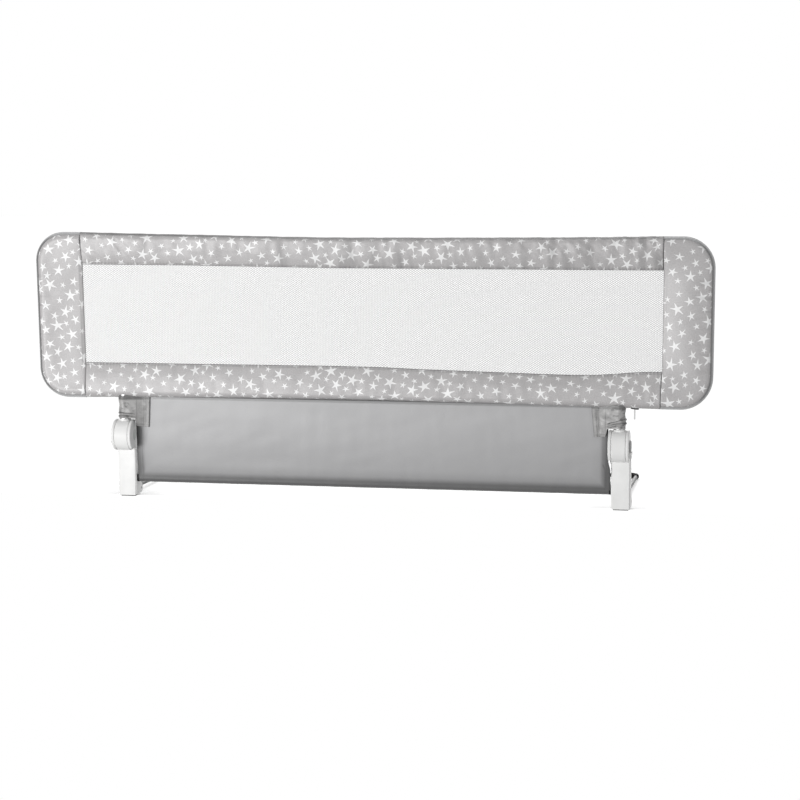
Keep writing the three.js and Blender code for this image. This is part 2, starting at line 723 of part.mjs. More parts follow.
function legScrew(z) {
  const seat = LEG_BACK - SCREW_HEAD + FIT;
  return join(
    pinAlongY(SCREW_R, LEG_BACK - COVER_PLATE - SCREW_LENGTH + FIT, LEG_BACK, LEG_X, z, 8),
    pinAlongY(SCREW_HEAD_R, seat, LEG_BACK, LEG_X, z, 10),
  );
}

function footPad() {
  const half = LEG_WIDTH / 2 - PAD_MARGIN - FIT;
  return block(LEG_X - half, LEG_X + half, LEG_FRONT + PAD_MARGIN + FIT, padBack() - FIT, 0, SOLE + PAD_RECESS - FIT);
}

// Folding base. It is drawn level and then turned about its pivot until its elbows rest on the floor.

function sloped(body) {
  const down = (-BASE_SLOPE * 180) / Math.PI;
  return body.translate([0, -PIVOT_Y, -PIVOT_Z]).rotate([down, 0, 0]).translate([0, PIVOT_Y, PIVOT_Z]);
}

function baseBarrel() {
  const from = LEG_X - BASE_BARREL_WIDTH / 2;
  const to = LEG_X + BASE_BARREL_WIDTH / 2;
  const edge = BARREL_CHAMFER;
  const barrel = turnedAlongX([
    [0, from], [LUG_R - edge, from], [LUG_R, from + edge], [LUG_R, to - edge], [LUG_R - edge, to], [0, to],
  ], PIVOT_Y, PIVOT_Z, 14);
  return sloped(cut(
    barrel,
    pinAlongX(BASE_PIN_R + FIT, from - OVERRUN, to + OVERRUN, PIVOT_Y, PIVOT_Z, 16),
    pinAlongY(BASE_TUBE_R + FIT, PIVOT_Y + armStart() - FIT, PIVOT_Y + 2 * LUG_R, LEG_X, PIVOT_Z, 14),
  ));
}

function armStart() {
  return BASE_PIN_R + LEG_WALL;
}

function basePin() {
  const half = LEG_WIDTH / 2 - LEG_EDGE / 2;
  return pinAlongX(BASE_PIN_R, LEG_X - half, LEG_X + half, PIVOT_Y, PIVOT_Z, 16);
}

function baseArm() {
  const from = PIVOT_Y + armStart();
  const to = PIVOT_Y + BASE_ARM - ELBOW_ARM + ELBOW_SOCKET - FIT;
  return sloped(cut(
    pinAlongY(BASE_TUBE_R, from, to, LEG_X, PIVOT_Z, 14),
    pinAlongY(BASE_TUBE_R - BASE_WALL, from - OVERRUN, to + OVERRUN, LEG_X, PIVOT_Z, 14),
  ));
}

function baseBar() {
  const y = PIVOT_Y + BASE_ARM;
  const to = LEG_X - ELBOW_ARM + ELBOW_SOCKET - FIT;
  const bore = BASE_TUBE_R - BASE_WALL;
  const profile = [[bore, FIT], [BASE_TUBE_R, FIT], [BASE_TUBE_R, to], [bore, to], [bore, FIT]];
  return sloped(turnedAlongX(profile, y, PIVOT_Z, 14));
}

// A moulded elbow that takes the arm in one socket and the rear bar in the other.
function baseElbow() {
  const y = PIVOT_Y + BASE_ARM;
  const corners = [[LEG_X - ELBOW_ARM, y], [LEG_X, y], [LEG_X, y - ELBOW_ARM]];
  const stations = bentPath(corners, ELBOW_BEND_R, 0, 4).map(({ point, along }) => ({
    point: new THREE.Vector3(point.x, point.z, PIVOT_Z),
    along: new THREE.Vector3(along.x, along.z, 0),
  }));
  const socketR = BASE_TUBE_R + FIT;
  return sloped(cut(
    swept(stations, ELBOW_R, 0, 14),
    pinAlongX(socketR, LEG_X - ELBOW_ARM - OVERRUN, LEG_X - ELBOW_ARM + ELBOW_SOCKET, y, PIVOT_Z, 14),
    pinAlongY(socketR, y - ELBOW_ARM - OVERRUN, y - ELBOW_ARM + ELBOW_SOCKET, LEG_X, PIVOT_Z, 14),
  ));
}

function baseSleeve() {
  const half = BASE_SLEEVE_LENGTH / 2;
  const bore = BASE_TUBE_R + FIT;
  const profile = [[bore, -half], [BASE_SLEEVE_R, -half], [BASE_SLEEVE_R, half], [bore, half], [bore, -half]];
  return sloped(turnedAlongX(profile, PIVOT_Y + BASE_ARM, PIVOT_Z, 14));
}

// Fabric cover

// Section of the cover as [outwards, y] pairs: straight from the seam to the tube, round it and back.
function coverSection(depth, reach, steps) {
  const tilt = Math.asin((SLEEVE_R - SEAM_HALF) / depth);
  const sweep = Math.PI + 2 * tilt;
  const points = [[0, -SEAM_HALF]];
  for (let i = 0; i <= steps; i += 1) {
    const angle = (i / steps - 1 / 2) * sweep;
    const out = Math.cos(angle) > 0 ? reach : SLEEVE_R;
    points.push([depth + out * Math.cos(angle), SLEEVE_R * Math.sin(angle)]);
  }
  points.push([0, SEAM_HALF]);
  return points;
}

function band(tubeZ, edgeZ, seamZ) {
  const half = SEAM_X - FIT / 2;
  const up = Math.sign(edgeZ - tubeZ);
  const section = coverSection(Math.abs(tubeZ - seamZ), Math.abs(edgeZ - tubeZ), 14);
  const shape = new THREE.Shape(section.map(([out, y]) => new THREE.Vector2(y, seamZ + up * out)));
  return cut(alongX(shape, -half, half), pinAlongX(BORE_R, -SEAM_X - OVERRUN, SEAM_X + OVERRUN, 0, tubeZ, 20));
}

function coverTop() {
  return band(BOW_TOP, PANEL_TOP, WINDOW_TOP);
}

// The lower band is slit for the uprights.
function coverBottom() {
  const slit = pinAlongZ(UPRIGHT_R + RUNNING, PANEL_BOTTOM - OVERRUN, BOW_BOTTOM, UPRIGHT_X, 0);
  return cut(band(BOW_BOTTOM, PANEL_BOTTOM, WINDOW_BOTTOM), slit, slit.mirror([1, 0, 0]));
}

// An end piece: cloth drawn from the seam at the window out to the bow, with a section at each station.
function coverEnd() {
  const seam = SEAM_X + FIT / 2;
  const corners = (start) => [[start, BOW_TOP], [BOW_X, BOW_TOP], [BOW_X, BOW_BOTTOM], [start, BOW_BOTTOM]];
  const stations = bentPath(corners(seam), BEND_R, 0, BEND_STEPS);
  const lengths = [0];
  for (let i = 1; i < stations.length; i += 1) {
    lengths.push(lengths[i - 1] + stations[i].point.distanceTo(stations[i - 1].point));
  }
  const across = new THREE.Vector3(0, 1, 0);
  const sections = stations.map(({ point, along }, i) => {
    const share = lengths[i] / lengths[lengths.length - 1];
    const hub = new THREE.Vector3(seam, 0, WINDOW_TOP + (WINDOW_BOTTOM - WINDOW_TOP) * share);
    const outwards = along.clone().cross(across);
    const depth = hub.distanceTo(point);
    return coverSection(depth, SLEEVE_R, 8).map(([out, y]) => {
      const spot = out > 0 ? point.clone().addScaledVector(outwards, out - depth) : hub.clone();
      return spot.addScaledVector(across, y);
    });
  });
  return cut(lofted(sections), swept(bentPath(corners(seam - OVERRUN), BEND_R, 0, BEND_STEPS), BORE_R, 0, 10));
}

function piping() {
  const out = SLEEVE_R + FIT + PIPING_R;
  const seam = SEAM_X + FIT / 2;
  const corners = [
    [seam, BOW_TOP + out], [BOW_X + out, BOW_TOP + out], [BOW_X + out, BOW_BOTTOM - out], [seam, BOW_BOTTOM - out],
  ];
  return swept(bentPath(corners, BEND_R + out, 0, BEND_STEPS), PIPING_R, 0, 8);
}

// The net window: upright and level strands that cross in one plane.
function windowNet() {
  const half = SEAM_X - FIT / 2;
  const bottom = WINDOW_BOTTOM + FIT;
  const top = WINDOW_TOP - FIT;
  const stepX = (2 * half - NET_STRAND) / NET_COLUMNS;
  const stepZ = (top - bottom - NET_STRAND) / NET_ROWS;
  const deep = NET_THICKNESS / 2;
  const strands = [];
  for (let column = 0; column <= NET_COLUMNS; column += 1) {
    const x = -half + column * stepX;
    strands.push(block(x, x + NET_STRAND, -deep, deep, bottom, top));
  }
  for (let row = 0; row <= NET_ROWS; row += 1) {
    const z = bottom + row * stepZ;
    strands.push(block(-half, half, -deep, deep, z, z + NET_STRAND));
  }
  return join(...strands);
}

// The ear's sleeve round the upright, gathered in folds at its lower end.
function earSleeve(bottom, top) {
  const radius = UPRIGHT_R + RUNNING + EAR_SKIN;
  const profile = [[0, bottom], [radius, bottom]];
  for (let i = 0; i < EAR_FOLDS; i += 1) {
    const foot = bottom + i * EAR_FOLD_PITCH;
    profile.push([radius + EAR_FOLD_RISE, foot + EAR_FOLD_PITCH / 3], [radius, foot + EAR_FOLD_PITCH * 0.9]);
  }
  profile.push([radius, top], [0, top]);
  return turned(profile).translate([UPRIGHT_X, 0, 0]);
}

// An ear: a sleeve round the upright with a flap towards the middle, over the corner of the skirt.
function ear() {
  const bottom = HINGE_Z + BARREL_R + COLLAR_RISE + EAR_START;
  const top = BOW_BOTTOM;
  const clearX = LEG_X + CHEEK_INNER - 2 * EAR_SKIN;
  const flap = new THREE.Shape();
  flap.moveTo(EAR_INNER_X, bottom - EAR_DROP);
  flap.lineTo(clearX, bottom);
  flap.lineTo(UPRIGHT_X, bottom);
  flap.lineTo(UPRIGHT_X, top);
  flap.lineTo(EAR_INNER_X - EAR_SLANT, top);
  flap.closePath();
  const flapBack = -SKIRT_CLOTH / 2 - FIT;
  const cloth = join(earSleeve(bottom, top), alongY(flap, flapBack - EAR_SKIN, flapBack));
  const tube = pinAlongZ(UPRIGHT_R + RUNNING, bottom - OVERRUN, top + OVERRUN, UPRIGHT_X, 0);
  const bandRoom = alongX(grownBand(), EAR_INNER_X - EAR_SLANT - OVERRUN, LENGTH / 2);
  return cut(cloth, tube, bandRoom);
}

// The lower band's section, grown by the fit, which trims what ends against it.
function grownBand() {
  const shape = new THREE.Shape();
  shape.absellipse(0, BOW_BOTTOM, SLEEVE_R + FIT, RIM + FIT, 0, 2 * Math.PI, false, 0);
  return shape;
}

// Skirt

// The skirt runs from the lower band back past the hinge line and down to the rod in its hem.
function skirtUpper() {
  const half = SKIRT_CLOTH / 2;
  const shape = new THREE.Shape();
  shape.moveTo(-half, BOW_BOTTOM);
  shape.lineTo(-half, PANEL_BOTTOM - OVERRUN);
  shape.lineTo(SKIRT_AT_HINGE - half, HINGE_Z + FIT / 2);
  shape.lineTo(SKIRT_AT_HINGE + half, HINGE_Z + FIT / 2);
  shape.lineTo(half, PANEL_BOTTOM - OVERRUN);
  shape.lineTo(half, BOW_BOTTOM);
  shape.closePath();
  const sheet = alongX(shape, -SKIRT_X, SKIRT_X);
  return cut(sheet, alongX(grownBand(), -SKIRT_X - OVERRUN, SKIRT_X + OVERRUN));
}

function skirtLower() {
  const half = SKIRT_CLOTH / 2;
  const front = HEM_Y - HEM_R + half;
  const shape = new THREE.Shape();
  shape.moveTo(SKIRT_AT_HINGE - half, HINGE_Z - FIT / 2);
  shape.lineTo(front - half, HEM_Z);
  shape.lineTo(front + half, HEM_Z);
  shape.lineTo(SKIRT_AT_HINGE + half, HINGE_Z - FIT / 2);
  shape.closePath();
  const sheet = alongX(shape, -SKIRT_X, SKIRT_X);
  const hem = pinAlongX(HEM_R, -SKIRT_X, SKIRT_X, HEM_Y, HEM_Z, 16);
  return cut(join(sheet, hem), pinAlongX(HEM_ROD_R + RUNNING, -LENGTH, LENGTH, HEM_Y, HEM_Z, 16));
}

function hemRod() {
  const half = LEG_X - LEG_WIDTH / 2 + HEM_ROD_GRIP - FIT;
  const bore = HEM_ROD_R - HEM_ROD_WALL;
  const profile = [[bore, -half], [HEM_ROD_R, -half], [HEM_ROD_R, half], [bore, half], [bore, -half]];
  return turnedAlongX(profile, HEM_Y, HEM_Z, 16);
}

function hemCollar() {
  const from = SKIRT_X + FIT;
  const to = LEG_X - LEG_WIDTH / 2 - FIT;
  const bore = HEM_ROD_R + FIT;
  const profile = [[bore, from], [HEM_COLLAR_R, from], [HEM_COLLAR_R, to], [bore, to], [bore, from]];
  return turnedAlongX(profile, HEM_Y, HEM_Z, 16);
}

// Zip

function zipTape() {
  const from = SLEEVE_R + FIT;
  return block(-SEAM_X + FIT, SEAM_X - FIT, from, from + ZIP_TAPE, ZIP_TAPE_BOTTOM, ZIP_TAPE_TOP);
}

function sliderPlace() {
  const y = SLEEVE_R + FIT + ZIP_TAPE + FIT;
  return { y, z: ZIP_TAPE_BOTTOM - SLIDER_HANG + SLIDER_HEIGHT / 2 };
}

function pullerPin() {
  const { y, z } = sliderPlace();
  return { y: y + SLIDER_DEPTH * 0.55, z: z - SLIDER_HEIGHT / 2 + 2 * PULLER_PIN_R };
}

// The slider narrows towards one end and carries a small bridge for the puller.
function zipSlider() {
  const { y, z } = sliderPlace();
  const half = SLIDER_LENGTH / 2;
  const tall = SLIDER_HEIGHT / 2;
  const shape = new THREE.Shape();
  shape.moveTo(ZIP_X - half, z - tall * 0.6);
  shape.lineTo(ZIP_X + half / 3, z - tall);
  shape.lineTo(ZIP_X + half, z - tall);
  shape.lineTo(ZIP_X + half, z + tall);
  shape.lineTo(ZIP_X + half / 3, z + tall);
  shape.lineTo(ZIP_X - half, z + tall * 0.6);
  shape.closePath();
  const pin = pullerPin();
  const slot = PULLER_WIDTH / 2 + RUNNING;
  const body = cut(
    alongY(shape, y, y + SLIDER_DEPTH),
    block(ZIP_X - slot, ZIP_X + slot, y + SLIDER_DEPTH * 0.15, y + 2 * SLIDER_DEPTH, z - SLIDER_HEIGHT,
      pin.z + 3 * PULLER_PIN_R),
  );
  return join(body, pinAlongX(PULLER_PIN_R, ZIP_X - half / 2, ZIP_X + half / 2, pin.y, pin.z, 10));
}

function zipPuller() {
  const pin = pullerPin();
  const eye = PULLER_PIN_R + RUNNING / 2;
  const head = eye + PULLER_PIN_R / 2;
  const shape = new THREE.Shape();
  shape.moveTo(head, pin.z);
  shape.absarc(0, pin.z, head, 0, Math.PI, false);
  shape.lineTo(-PULLER_THICKNESS / 2, pin.z - PULLER_LENGTH);
  shape.lineTo(PULLER_THICKNESS / 2, pin.z - PULLER_LENGTH);
  shape.closePath();
  const tag = alongX(shape, ZIP_X - PULLER_WIDTH / 2, ZIP_X + PULLER_WIDTH / 2, 0, 8);
  const hole = pinAlongX(eye, ZIP_X - PULLER_WIDTH, ZIP_X + PULLER_WIDTH, 0, pin.z, 10);
  return cut(tag, hole).translate([0, pin.y, 0]);
}

// Assembly
addPair('leg', leg(), 'white');
addPair('leg_cover', legCover(), 'white');
addPair('leg_screw_lower', legScrew(coverScrewHeights()[0]), 'steel');
addPair('leg_screw_upper', legScrew(coverScrewHeights()[1]), 'steel');
addPair('foot_pad', footPad(), 'rubber');
addPair('hinge_pin', hingePin(), 'steel');
addPair('pin_cap', pinCap(), 'cap');
addPair('release_button', releaseButton(), 'button');
addPair('lock_ring', lockRing(), 'steel');
addPair('knuckle', knuckle(), 'white');
addPair('upright', upright(), 'steel');
addPair('upright_screw', uprightScrew(), 'steel');
addPair('frame', bow(), 'steel');
add('frame_top', joiner(BOW_TOP, -1), 'steel');
add('frame_bottom', joiner(BOW_BOTTOM, 1), 'steel');
addPair('snap_top', snap(BOW_TOP, -1), 'steel');
addPair('snap_bottom', snap(BOW_BOTTOM, 1), 'steel');
add('cover_top', coverTop(), 'grey');
add('cover_bottom', coverBottom(), 'grey');
addPair('cover_end', coverEnd(), 'grey');
addPair('piping', piping(), 'piping');
add('window_net', windowNet(), 'net');
addPair('ear', ear(), 'grey');
add('skirt_upper', skirtUpper(), 'skirt');
add('skirt_lower', skirtLower(), 'skirt');
add('hem_rod', hemRod(), 'black');
addPair('hem_collar', hemCollar(), 'black');
add('zip_tape', zipTape(), 'black');
add('zip_slider', zipSlider(), 'black');
add('zip_puller', zipPuller(), 'black');
addPair('base_barrel', baseBarrel(), 'white');
addPair('base_pin', basePin(), 'steel');
addPair('base_arm', baseArm(), 'painted');
addPair('base_elbow', baseElbow(), 'black');
addPair('base_bar', baseBar(), 'painted');
add('base_sleeve', baseSleeve(), 'black');

export default rail;
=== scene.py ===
"""Folding bed guard rail: the dressed model over its fixed frame.

The frame holds the real construction. This script gives each visible piece its finish, and replaces the
cloth and the moulded pieces with fine ones that ride on the same bodies. Lengths are in metres, +Z is up
and the front faces -Y.
"""

import json
import logging
from bisect import bisect_right
from dataclasses import dataclass, field
from enum import Enum
from functools import cache
from math import asin, cos, exp, hypot, pi, radians, sin
from typing import Callable, Sequence

import bmesh
import bpy
from mathutils import Matrix, Vector, noise


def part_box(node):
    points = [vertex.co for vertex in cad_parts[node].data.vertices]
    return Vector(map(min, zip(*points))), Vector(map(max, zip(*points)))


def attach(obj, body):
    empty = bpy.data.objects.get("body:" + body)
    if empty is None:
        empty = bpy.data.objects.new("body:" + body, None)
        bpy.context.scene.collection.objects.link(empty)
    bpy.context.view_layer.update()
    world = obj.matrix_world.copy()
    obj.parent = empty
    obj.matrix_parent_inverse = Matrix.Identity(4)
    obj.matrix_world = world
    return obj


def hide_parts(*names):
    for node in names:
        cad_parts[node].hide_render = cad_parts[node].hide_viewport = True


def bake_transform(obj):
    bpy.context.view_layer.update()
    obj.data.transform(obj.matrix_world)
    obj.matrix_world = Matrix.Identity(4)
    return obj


LOG = logging.getLogger("guard_rail")
Socket = bpy.types.NodeSocket
Material = bpy.types.Material
Object = bpy.types.Object
Mesh = bmesh.types.BMesh
Pair = tuple[float, float]
Triple = tuple[float, float, float]
Rows = tuple[Pair, ...]
Feeds = dict[str | int, object]

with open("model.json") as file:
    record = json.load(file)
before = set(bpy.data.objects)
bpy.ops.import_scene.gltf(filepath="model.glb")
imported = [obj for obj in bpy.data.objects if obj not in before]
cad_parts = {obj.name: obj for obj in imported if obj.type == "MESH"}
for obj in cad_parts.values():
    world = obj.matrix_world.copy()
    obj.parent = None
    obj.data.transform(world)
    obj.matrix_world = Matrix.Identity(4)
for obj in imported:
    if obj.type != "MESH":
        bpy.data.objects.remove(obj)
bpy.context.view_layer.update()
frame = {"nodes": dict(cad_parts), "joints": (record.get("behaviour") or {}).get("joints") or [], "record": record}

WHITE = (1.0, 1.0, 1.0, 1.0)
COVER_THICKNESS = 0.0009
SEAM_GAP = 0.0003
SEAM_DIP = 0.0009
SEAM_REACH = 0.0022
FLOOR_BEHIND = 0.018


class Side(Enum):
    """The two ends of the rail, by the sign of their X."""

    LEFT = -1
    RIGHT = 1

    @property
    def word(self) -> str:
        """The side's word in the names of pieces and nodes."""
        return self.name.lower()

    @classmethod
    def of(cls, x: float) -> "Side":
        """The side that an X lies on."""
        return cls.LEFT if x < 0 else cls.RIGHT


class Weave(Enum):
    """How a cloth is woven, as the pitch of its threads in metres and the height of its bumps."""

    SMOOTH = (0.0005, 0.10)
    PLAIN = (0.0007, 0.16)
    COATED = (0.0006, 0.05)
    RIBBED = (0.0011, 0.25)


# Node graphs


class Graph:
    """The node graph of a material or a world, with short calls for the nodes that are used here."""

    def __init__(self, owner: Material | bpy.types.World, shader: str = "ShaderNodeBsdfPrincipled",
                 output: str = "ShaderNodeOutputMaterial") -> None:
        """Starts an empty graph.

        Args:
            owner: The material or world.
            shader: The type of its shader node.
            output: The type of its output node.
        """
        self.owner = owner
        owner.use_nodes = True
        self.tree = owner.node_tree
        self.tree.nodes.clear()
        self.shader = self.node(shader)
        self.node(output, {"Surface": self.shader.outputs[0]})

    def node(self, kind: str, feeds: Feeds | None = None, **settings: object) -> bpy.types.Node:
        """Adds a node.

        Args:
            kind: The node's type.
            feeds: Sockets and values for its inputs, by name or number.
            **settings: Properties to set on it.

        Returns:
            The new node.
        """
        made = self.tree.nodes.new(kind)
        for key, value in settings.items():
            setattr(made, key, value)
        self.feed(made, feeds or {})
        return made

    def feed(self, node: bpy.types.Node, feeds: Feeds) -> None:
        """Links sockets into a node's inputs, or sets the inputs' own values.

        Args:
            node: The node.
            feeds: Sockets and values for its inputs, by name or number.
        """
        for key, value in feeds.items():
            if isinstance(value, Socket):
                self.tree.links.new(value, node.inputs[key])
            else:
                node.inputs[key].default_value = value

    def math(self, operation: str, *values: float | Socket) -> Socket:
        """Adds a Math node for up to three numbers or sockets and gives its result."""
        return self.node("ShaderNodeMath", dict(enumerate(values)), operation=operation).outputs[0]

    def vector(self, operation: str, *values: object) -> Socket:
        """Adds a Vector Math node and gives its vector, or the number of a LENGTH."""
        made = self.node("ShaderNodeVectorMath", dict(enumerate(values)), operation=operation)
        return made.outputs["Value" if operation == "LENGTH" else "Vector"]

    def scaled(self, vector: Socket, factor: float) -> Socket:
        """A vector times a number."""
        made = self.node("ShaderNodeVectorMath", {0: vector, "Scale": factor}, operation="SCALE")
        return made.outputs["Vector"]

    def uv(self) -> Socket:
        """The cloth's own coordinates, in metres along and across the cut."""
        return self.node("ShaderNodeUVMap", uv_map="cut").outputs["UV"]

    def place(self) -> Socket:
        """The object's coordinates, in metres."""
        return self.node("ShaderNodeTexCoord").outputs["Object"]

    def parts(self, vector: Socket) -> tuple[Socket, ...]:
        """Splits a vector into its x, y and z."""
        return tuple(self.node("ShaderNodeSeparateXYZ", {0: vector}).outputs)

    def noise(self, vector: Socket, scale: float, detail: float = 2.0) -> Socket:
        """The value around one half of a noise with a scale per metre and a number of octaves."""
        feeds = {"Vector": vector, "Scale": scale, "Detail": detail}
        return self.node("ShaderNodeTexNoise", feeds).outputs["Fac"]

    def spread(self, value: Socket, low: float, high: float) -> Socket:
        """Maps a value from 0..1 to another range."""
        feeds = {"Value": value, "To Min": low, "To Max": high}
        return self.node("ShaderNodeMapRange", feeds).outputs["Result"]

    def step(self, value: Socket, start: float, end: float, low: float = 0.0) -> Socket:
        """A smooth step from the low value at its start to 1 at its end."""
        feeds = {"Value": value, "From Min": start, "From Max": end, "To Min": low}
        return self.node("ShaderNodeMapRange", feeds, interpolation_type="SMOOTHSTEP").outputs["Result"]

    def mix(self, share: float | Socket, first: object, second: object) -> Socket:
        """Mixes two colours by the share of the second."""
        return self.node("ShaderNodeMix", {0: share, 6: first, 7: second}, data_type="RGBA").outputs[2]

    def bump(self, height: Socket, strength: float, distance: float) -> None:
        """Adds a bump under those that the shader already has.

        Args:
            height: The bump's height, 0 to 1.
            strength: Its strength.
            distance: The height that 1 stands for, in metres.
        """
        made = self.node("ShaderNodeBump", {"Strength": strength, "Distance": distance, "Height": height})
        target = self.shader.inputs["Normal"]
        if target.is_linked:
            self.feed(made, {"Normal": target.links[0].from_socket})
        self.feed(self.shader, {"Normal": made.outputs["Normal"]})


def shade(level: float, tint: Triple = (1.0, 1.0, 1.0)) -> tuple[float, float, float, float]:
    """The linear colour of a grey that a screen shows at a level of 0 to 1, times a tint."""
    linear = level / 12.92 if level <= 0.04045 else ((level + 0.055) / 1.055) ** 2.4
    return (linear * tint[0], linear * tint[1], linear * tint[2], 1.0)


# Finishes


@dataclass(frozen=True)
class StarPrint:
    """Scattered five-point stars in three sizes, on interleaved grids whose points are moved about.

    The cloth's coordinates are turned and warped first, so that no rows show and no two stars are alike. Each
    grid is its shift in cells and the random numbers from which its stars are medium and big.
    """

    pitch: float = 0.0365
    wander: float = 0.30
    big: float = 0.0146
    medium: float = 0.0108
    small: float = 0.0076
    waist: float = 0.31
    turn: float = 0.4
    warps: Rows = ((9.0, 0.026), (95.0, 0.0024))
    stretch: float = 0.28
    grids: tuple[Triple, ...] = ((0.0, 0.08, 0.42), (0.5, 0.76, 1.1))

    def ground(self, graph: Graph) -> Socket:
        """The coordinates that the stars lie in.

        Args:
            graph: The material's graph.

        Returns:
            The turned and warped coordinates, in grid cells.
        """
        turned = graph.node("ShaderNodeVectorRotate", {"Vector": graph.uv(), "Angle": self.turn},
                            rotation_type="Z_AXIS")
        place = turned.outputs[0]
        for scale, reach in self.warps:
            drift = graph.node("ShaderNodeTexNoise", {"Vector": graph.uv(), "Scale": scale, "Detail": 1.0})
            centred = graph.vector("SUBTRACT", drift.outputs["Color"], (0.5, 0.5, 0.5))
            place = graph.vector("ADD", place, graph.scaled(centred, reach))
        return graph.scaled(place, 1.0 / self.pitch)

    def layer(self, graph: Graph, ground: Socket, grid: Triple) -> Socket:
        """One grid of stars.

        Args:
            graph: The material's graph.
            ground: The coordinates that the stars lie in.
            grid: The grid.

        Returns:
            1 inside a star and 0 outside.
        """
        shift, medium_from, big_from = grid
        moved = graph.vector("ADD", ground, (shift, shift, 0.0))
        cells = graph.node("ShaderNodeTexVoronoi", {"Vector": moved, "Scale": 1.0, "Randomness": self.wander},
                           voronoi_dimensions="2D", feature="F1")
        turn, chance, width = graph.node("ShaderNodeSeparateColor", {0: cells.outputs["Color"]}).outputs
        x, y, _ = graph.parts(graph.vector("SUBTRACT", moved, cells.outputs["Position"]))
        x = graph.math("MULTIPLY", x, graph.spread(width, 1 - self.stretch / 2, 1 + self.stretch / 2))
        squares = graph.math("ADD", graph.math("MULTIPLY", x, x), graph.math("MULTIPLY", y, y))
        angle = graph.math("ADD", graph.math("ARCTAN2", y, x), graph.math("MULTIPLY", turn, 2 * pi))
        folded = graph.math("PINGPONG", angle, pi / 5)
        along = self.waist * sin(pi / 5)
        across = 1.0 - self.waist * cos(pi / 5)
        slope = graph.math("ADD", graph.math("MULTIPLY", graph.math("COSINE", folded), along),
                           graph.math("MULTIPLY", graph.math("SINE", folded), across))
        size = self.small / self.pitch
        for start, growth in ((medium_from, self.medium - self.small), (big_from, self.big - self.medium)):
            larger = graph.math("GREATER_THAN", chance, start)
            size = graph.math("MULTIPLY_ADD", larger, growth / self.pitch, size)
        edge = graph.math("DIVIDE", graph.math("MULTIPLY", size, along), slope)
        return graph.math("LESS_THAN", graph.math("SQRT", squares), edge)

    def mask(self, graph: Graph) -> Socket:
        """All grids of stars: 1 inside a star and 0 outside."""
        ground = self.ground(graph)
        return graph.math("MAXIMUM", *(self.layer(graph, ground, grid) for grid in self.grids))


@dataclass(frozen=True)
class Finish:
    """A finish, by the name of its slot and its level on a screen."""

    name: str
    level: float

    def make(self) -> Material:
        """Builds the material.

        Returns:
            The material, with its slot's name.
        """
        graph = Graph(bpy.data.materials.new(self.name))
        graph.feed(graph.shader, self.surface(graph))
        return graph.owner

    def surface(self, graph: Graph) -> Feeds:
        """Adds the finish's nodes and gives what goes into the shader's inputs."""
        raise NotImplementedError


@dataclass(frozen=True)
class Cloth(Finish):
    """Woven cloth with threads, a soft sheen, uneven colour and, where given, a print and rows of stitches.

    Each row of stitches is a place across or along the cut, in metres. A piece's crease attribute holds painted
    shade, which darkens the colour in its seams, folds and other places where its shape would lie in shade.
    """

    weave: Weave = Weave.PLAIN
    tint: Triple = (1.0, 1.0, 1.01)
    roughness: float = 0.82
    sheen: float = 0.25
    gloss: float = 0.7
    printed: StarPrint | None = None
    print_level: float = 0.93
    rows_across: tuple[float, ...] = ()
    rows_along: tuple[float, ...] = ()
    painted_shade_level: float = 0.5
    mottle: float = 0.55
    stitch: float = 0.0032
    stitch_share: float = 0.72
    thread_half: float = 0.00042

    def stitches(self, graph: Graph, place: Socket, run: Socket, rows: tuple[float, ...]) -> Socket:
        """Dashes of thread along some rows.

        Args:
            graph: The material's graph.
            place: The coordinate that the rows are places on.
            run: The coordinate that runs along a row.
            rows: The rows' places.

        Returns:
            1 on a stitch and 0 elsewhere.
        """
        near = 0.0
        for row in rows:
            near = graph.math("MAXIMUM", near, graph.math("COMPARE", place, row, self.thread_half))
        dash = graph.math("FRACT", graph.math("DIVIDE", run, self.stitch))
        return graph.math("MULTIPLY", near, graph.math("LESS_THAN", dash, self.stitch_share))

    def dye(self, factor: float) -> tuple[float, float, float, float]:
        """The cloth's own colour at a multiple of its level, up to white."""
        return shade(min(1.0, self.level * factor), self.tint)

    def surface(self, graph: Graph) -> Feeds:
        """Adds the cloth's nodes, read in the cut's own coordinates."""
        u, v, _ = graph.parts(graph.uv())
        pitch, height = self.weave.value
        warp, weft = (graph.math("SINE", graph.math("MULTIPLY", way, 2 * pi / pitch)) for way in (u, v))
        threads = graph.math("MULTIPLY_ADD", graph.math("MULTIPLY", warp, weft), 0.5, 0.5)
        slubs = graph.noise(graph.uv(), 900.0, 3.0)
        broad = graph.noise(graph.uv(), 14.0, 3.0)
        mottled = graph.spread(graph.noise(graph.uv(), 380.0, 3.0), -0.9, 1.9)
        base = graph.mix(graph.spread(broad, 0.2, 0.8), self.dye(0.965), self.dye(1.03))
        layers = [(threads, 0.10, self.dye(0.72)), (slubs, 0.10, self.dye(1.12)),
                  (mottled, self.mottle, self.dye(0.8))]
        if self.printed:
            layers.append((self.printed.mask(graph), 0.96, shade(self.print_level)))
        for place, run, rows in ((v, u, self.rows_across), (u, v, self.rows_along)):
            if rows:
                layers.append((self.stitches(graph, place, run, rows), 0.75, self.dye(0.66)))
                graph.bump(layers[-1][0], 0.7, 0.0005)
        for mask, strength, colour in layers:
            base = graph.mix(graph.math("MULTIPLY", mask, strength), base, colour)
        graph.bump(graph.noise(graph.uv(), 60.0, 4.0), 0.25, 0.0008)
        graph.bump(threads, height, pitch * 0.5)
        # Painted shade: the crease attribute mixes the cloth's painted-shade colour into its own.
        crease = graph.node("ShaderNodeAttribute", attribute_name="crease", attribute_type="GEOMETRY")
        return {"Base Color": graph.mix(crease.outputs["Fac"], base, self.dye(self.painted_shade_level)),
                "Roughness": graph.spread(slubs, self.roughness - 0.06, self.roughness + 0.06),
                "Specular IOR Level": self.gloss, "Sheen Weight": self.sheen, "Sheen Roughness": 0.45}


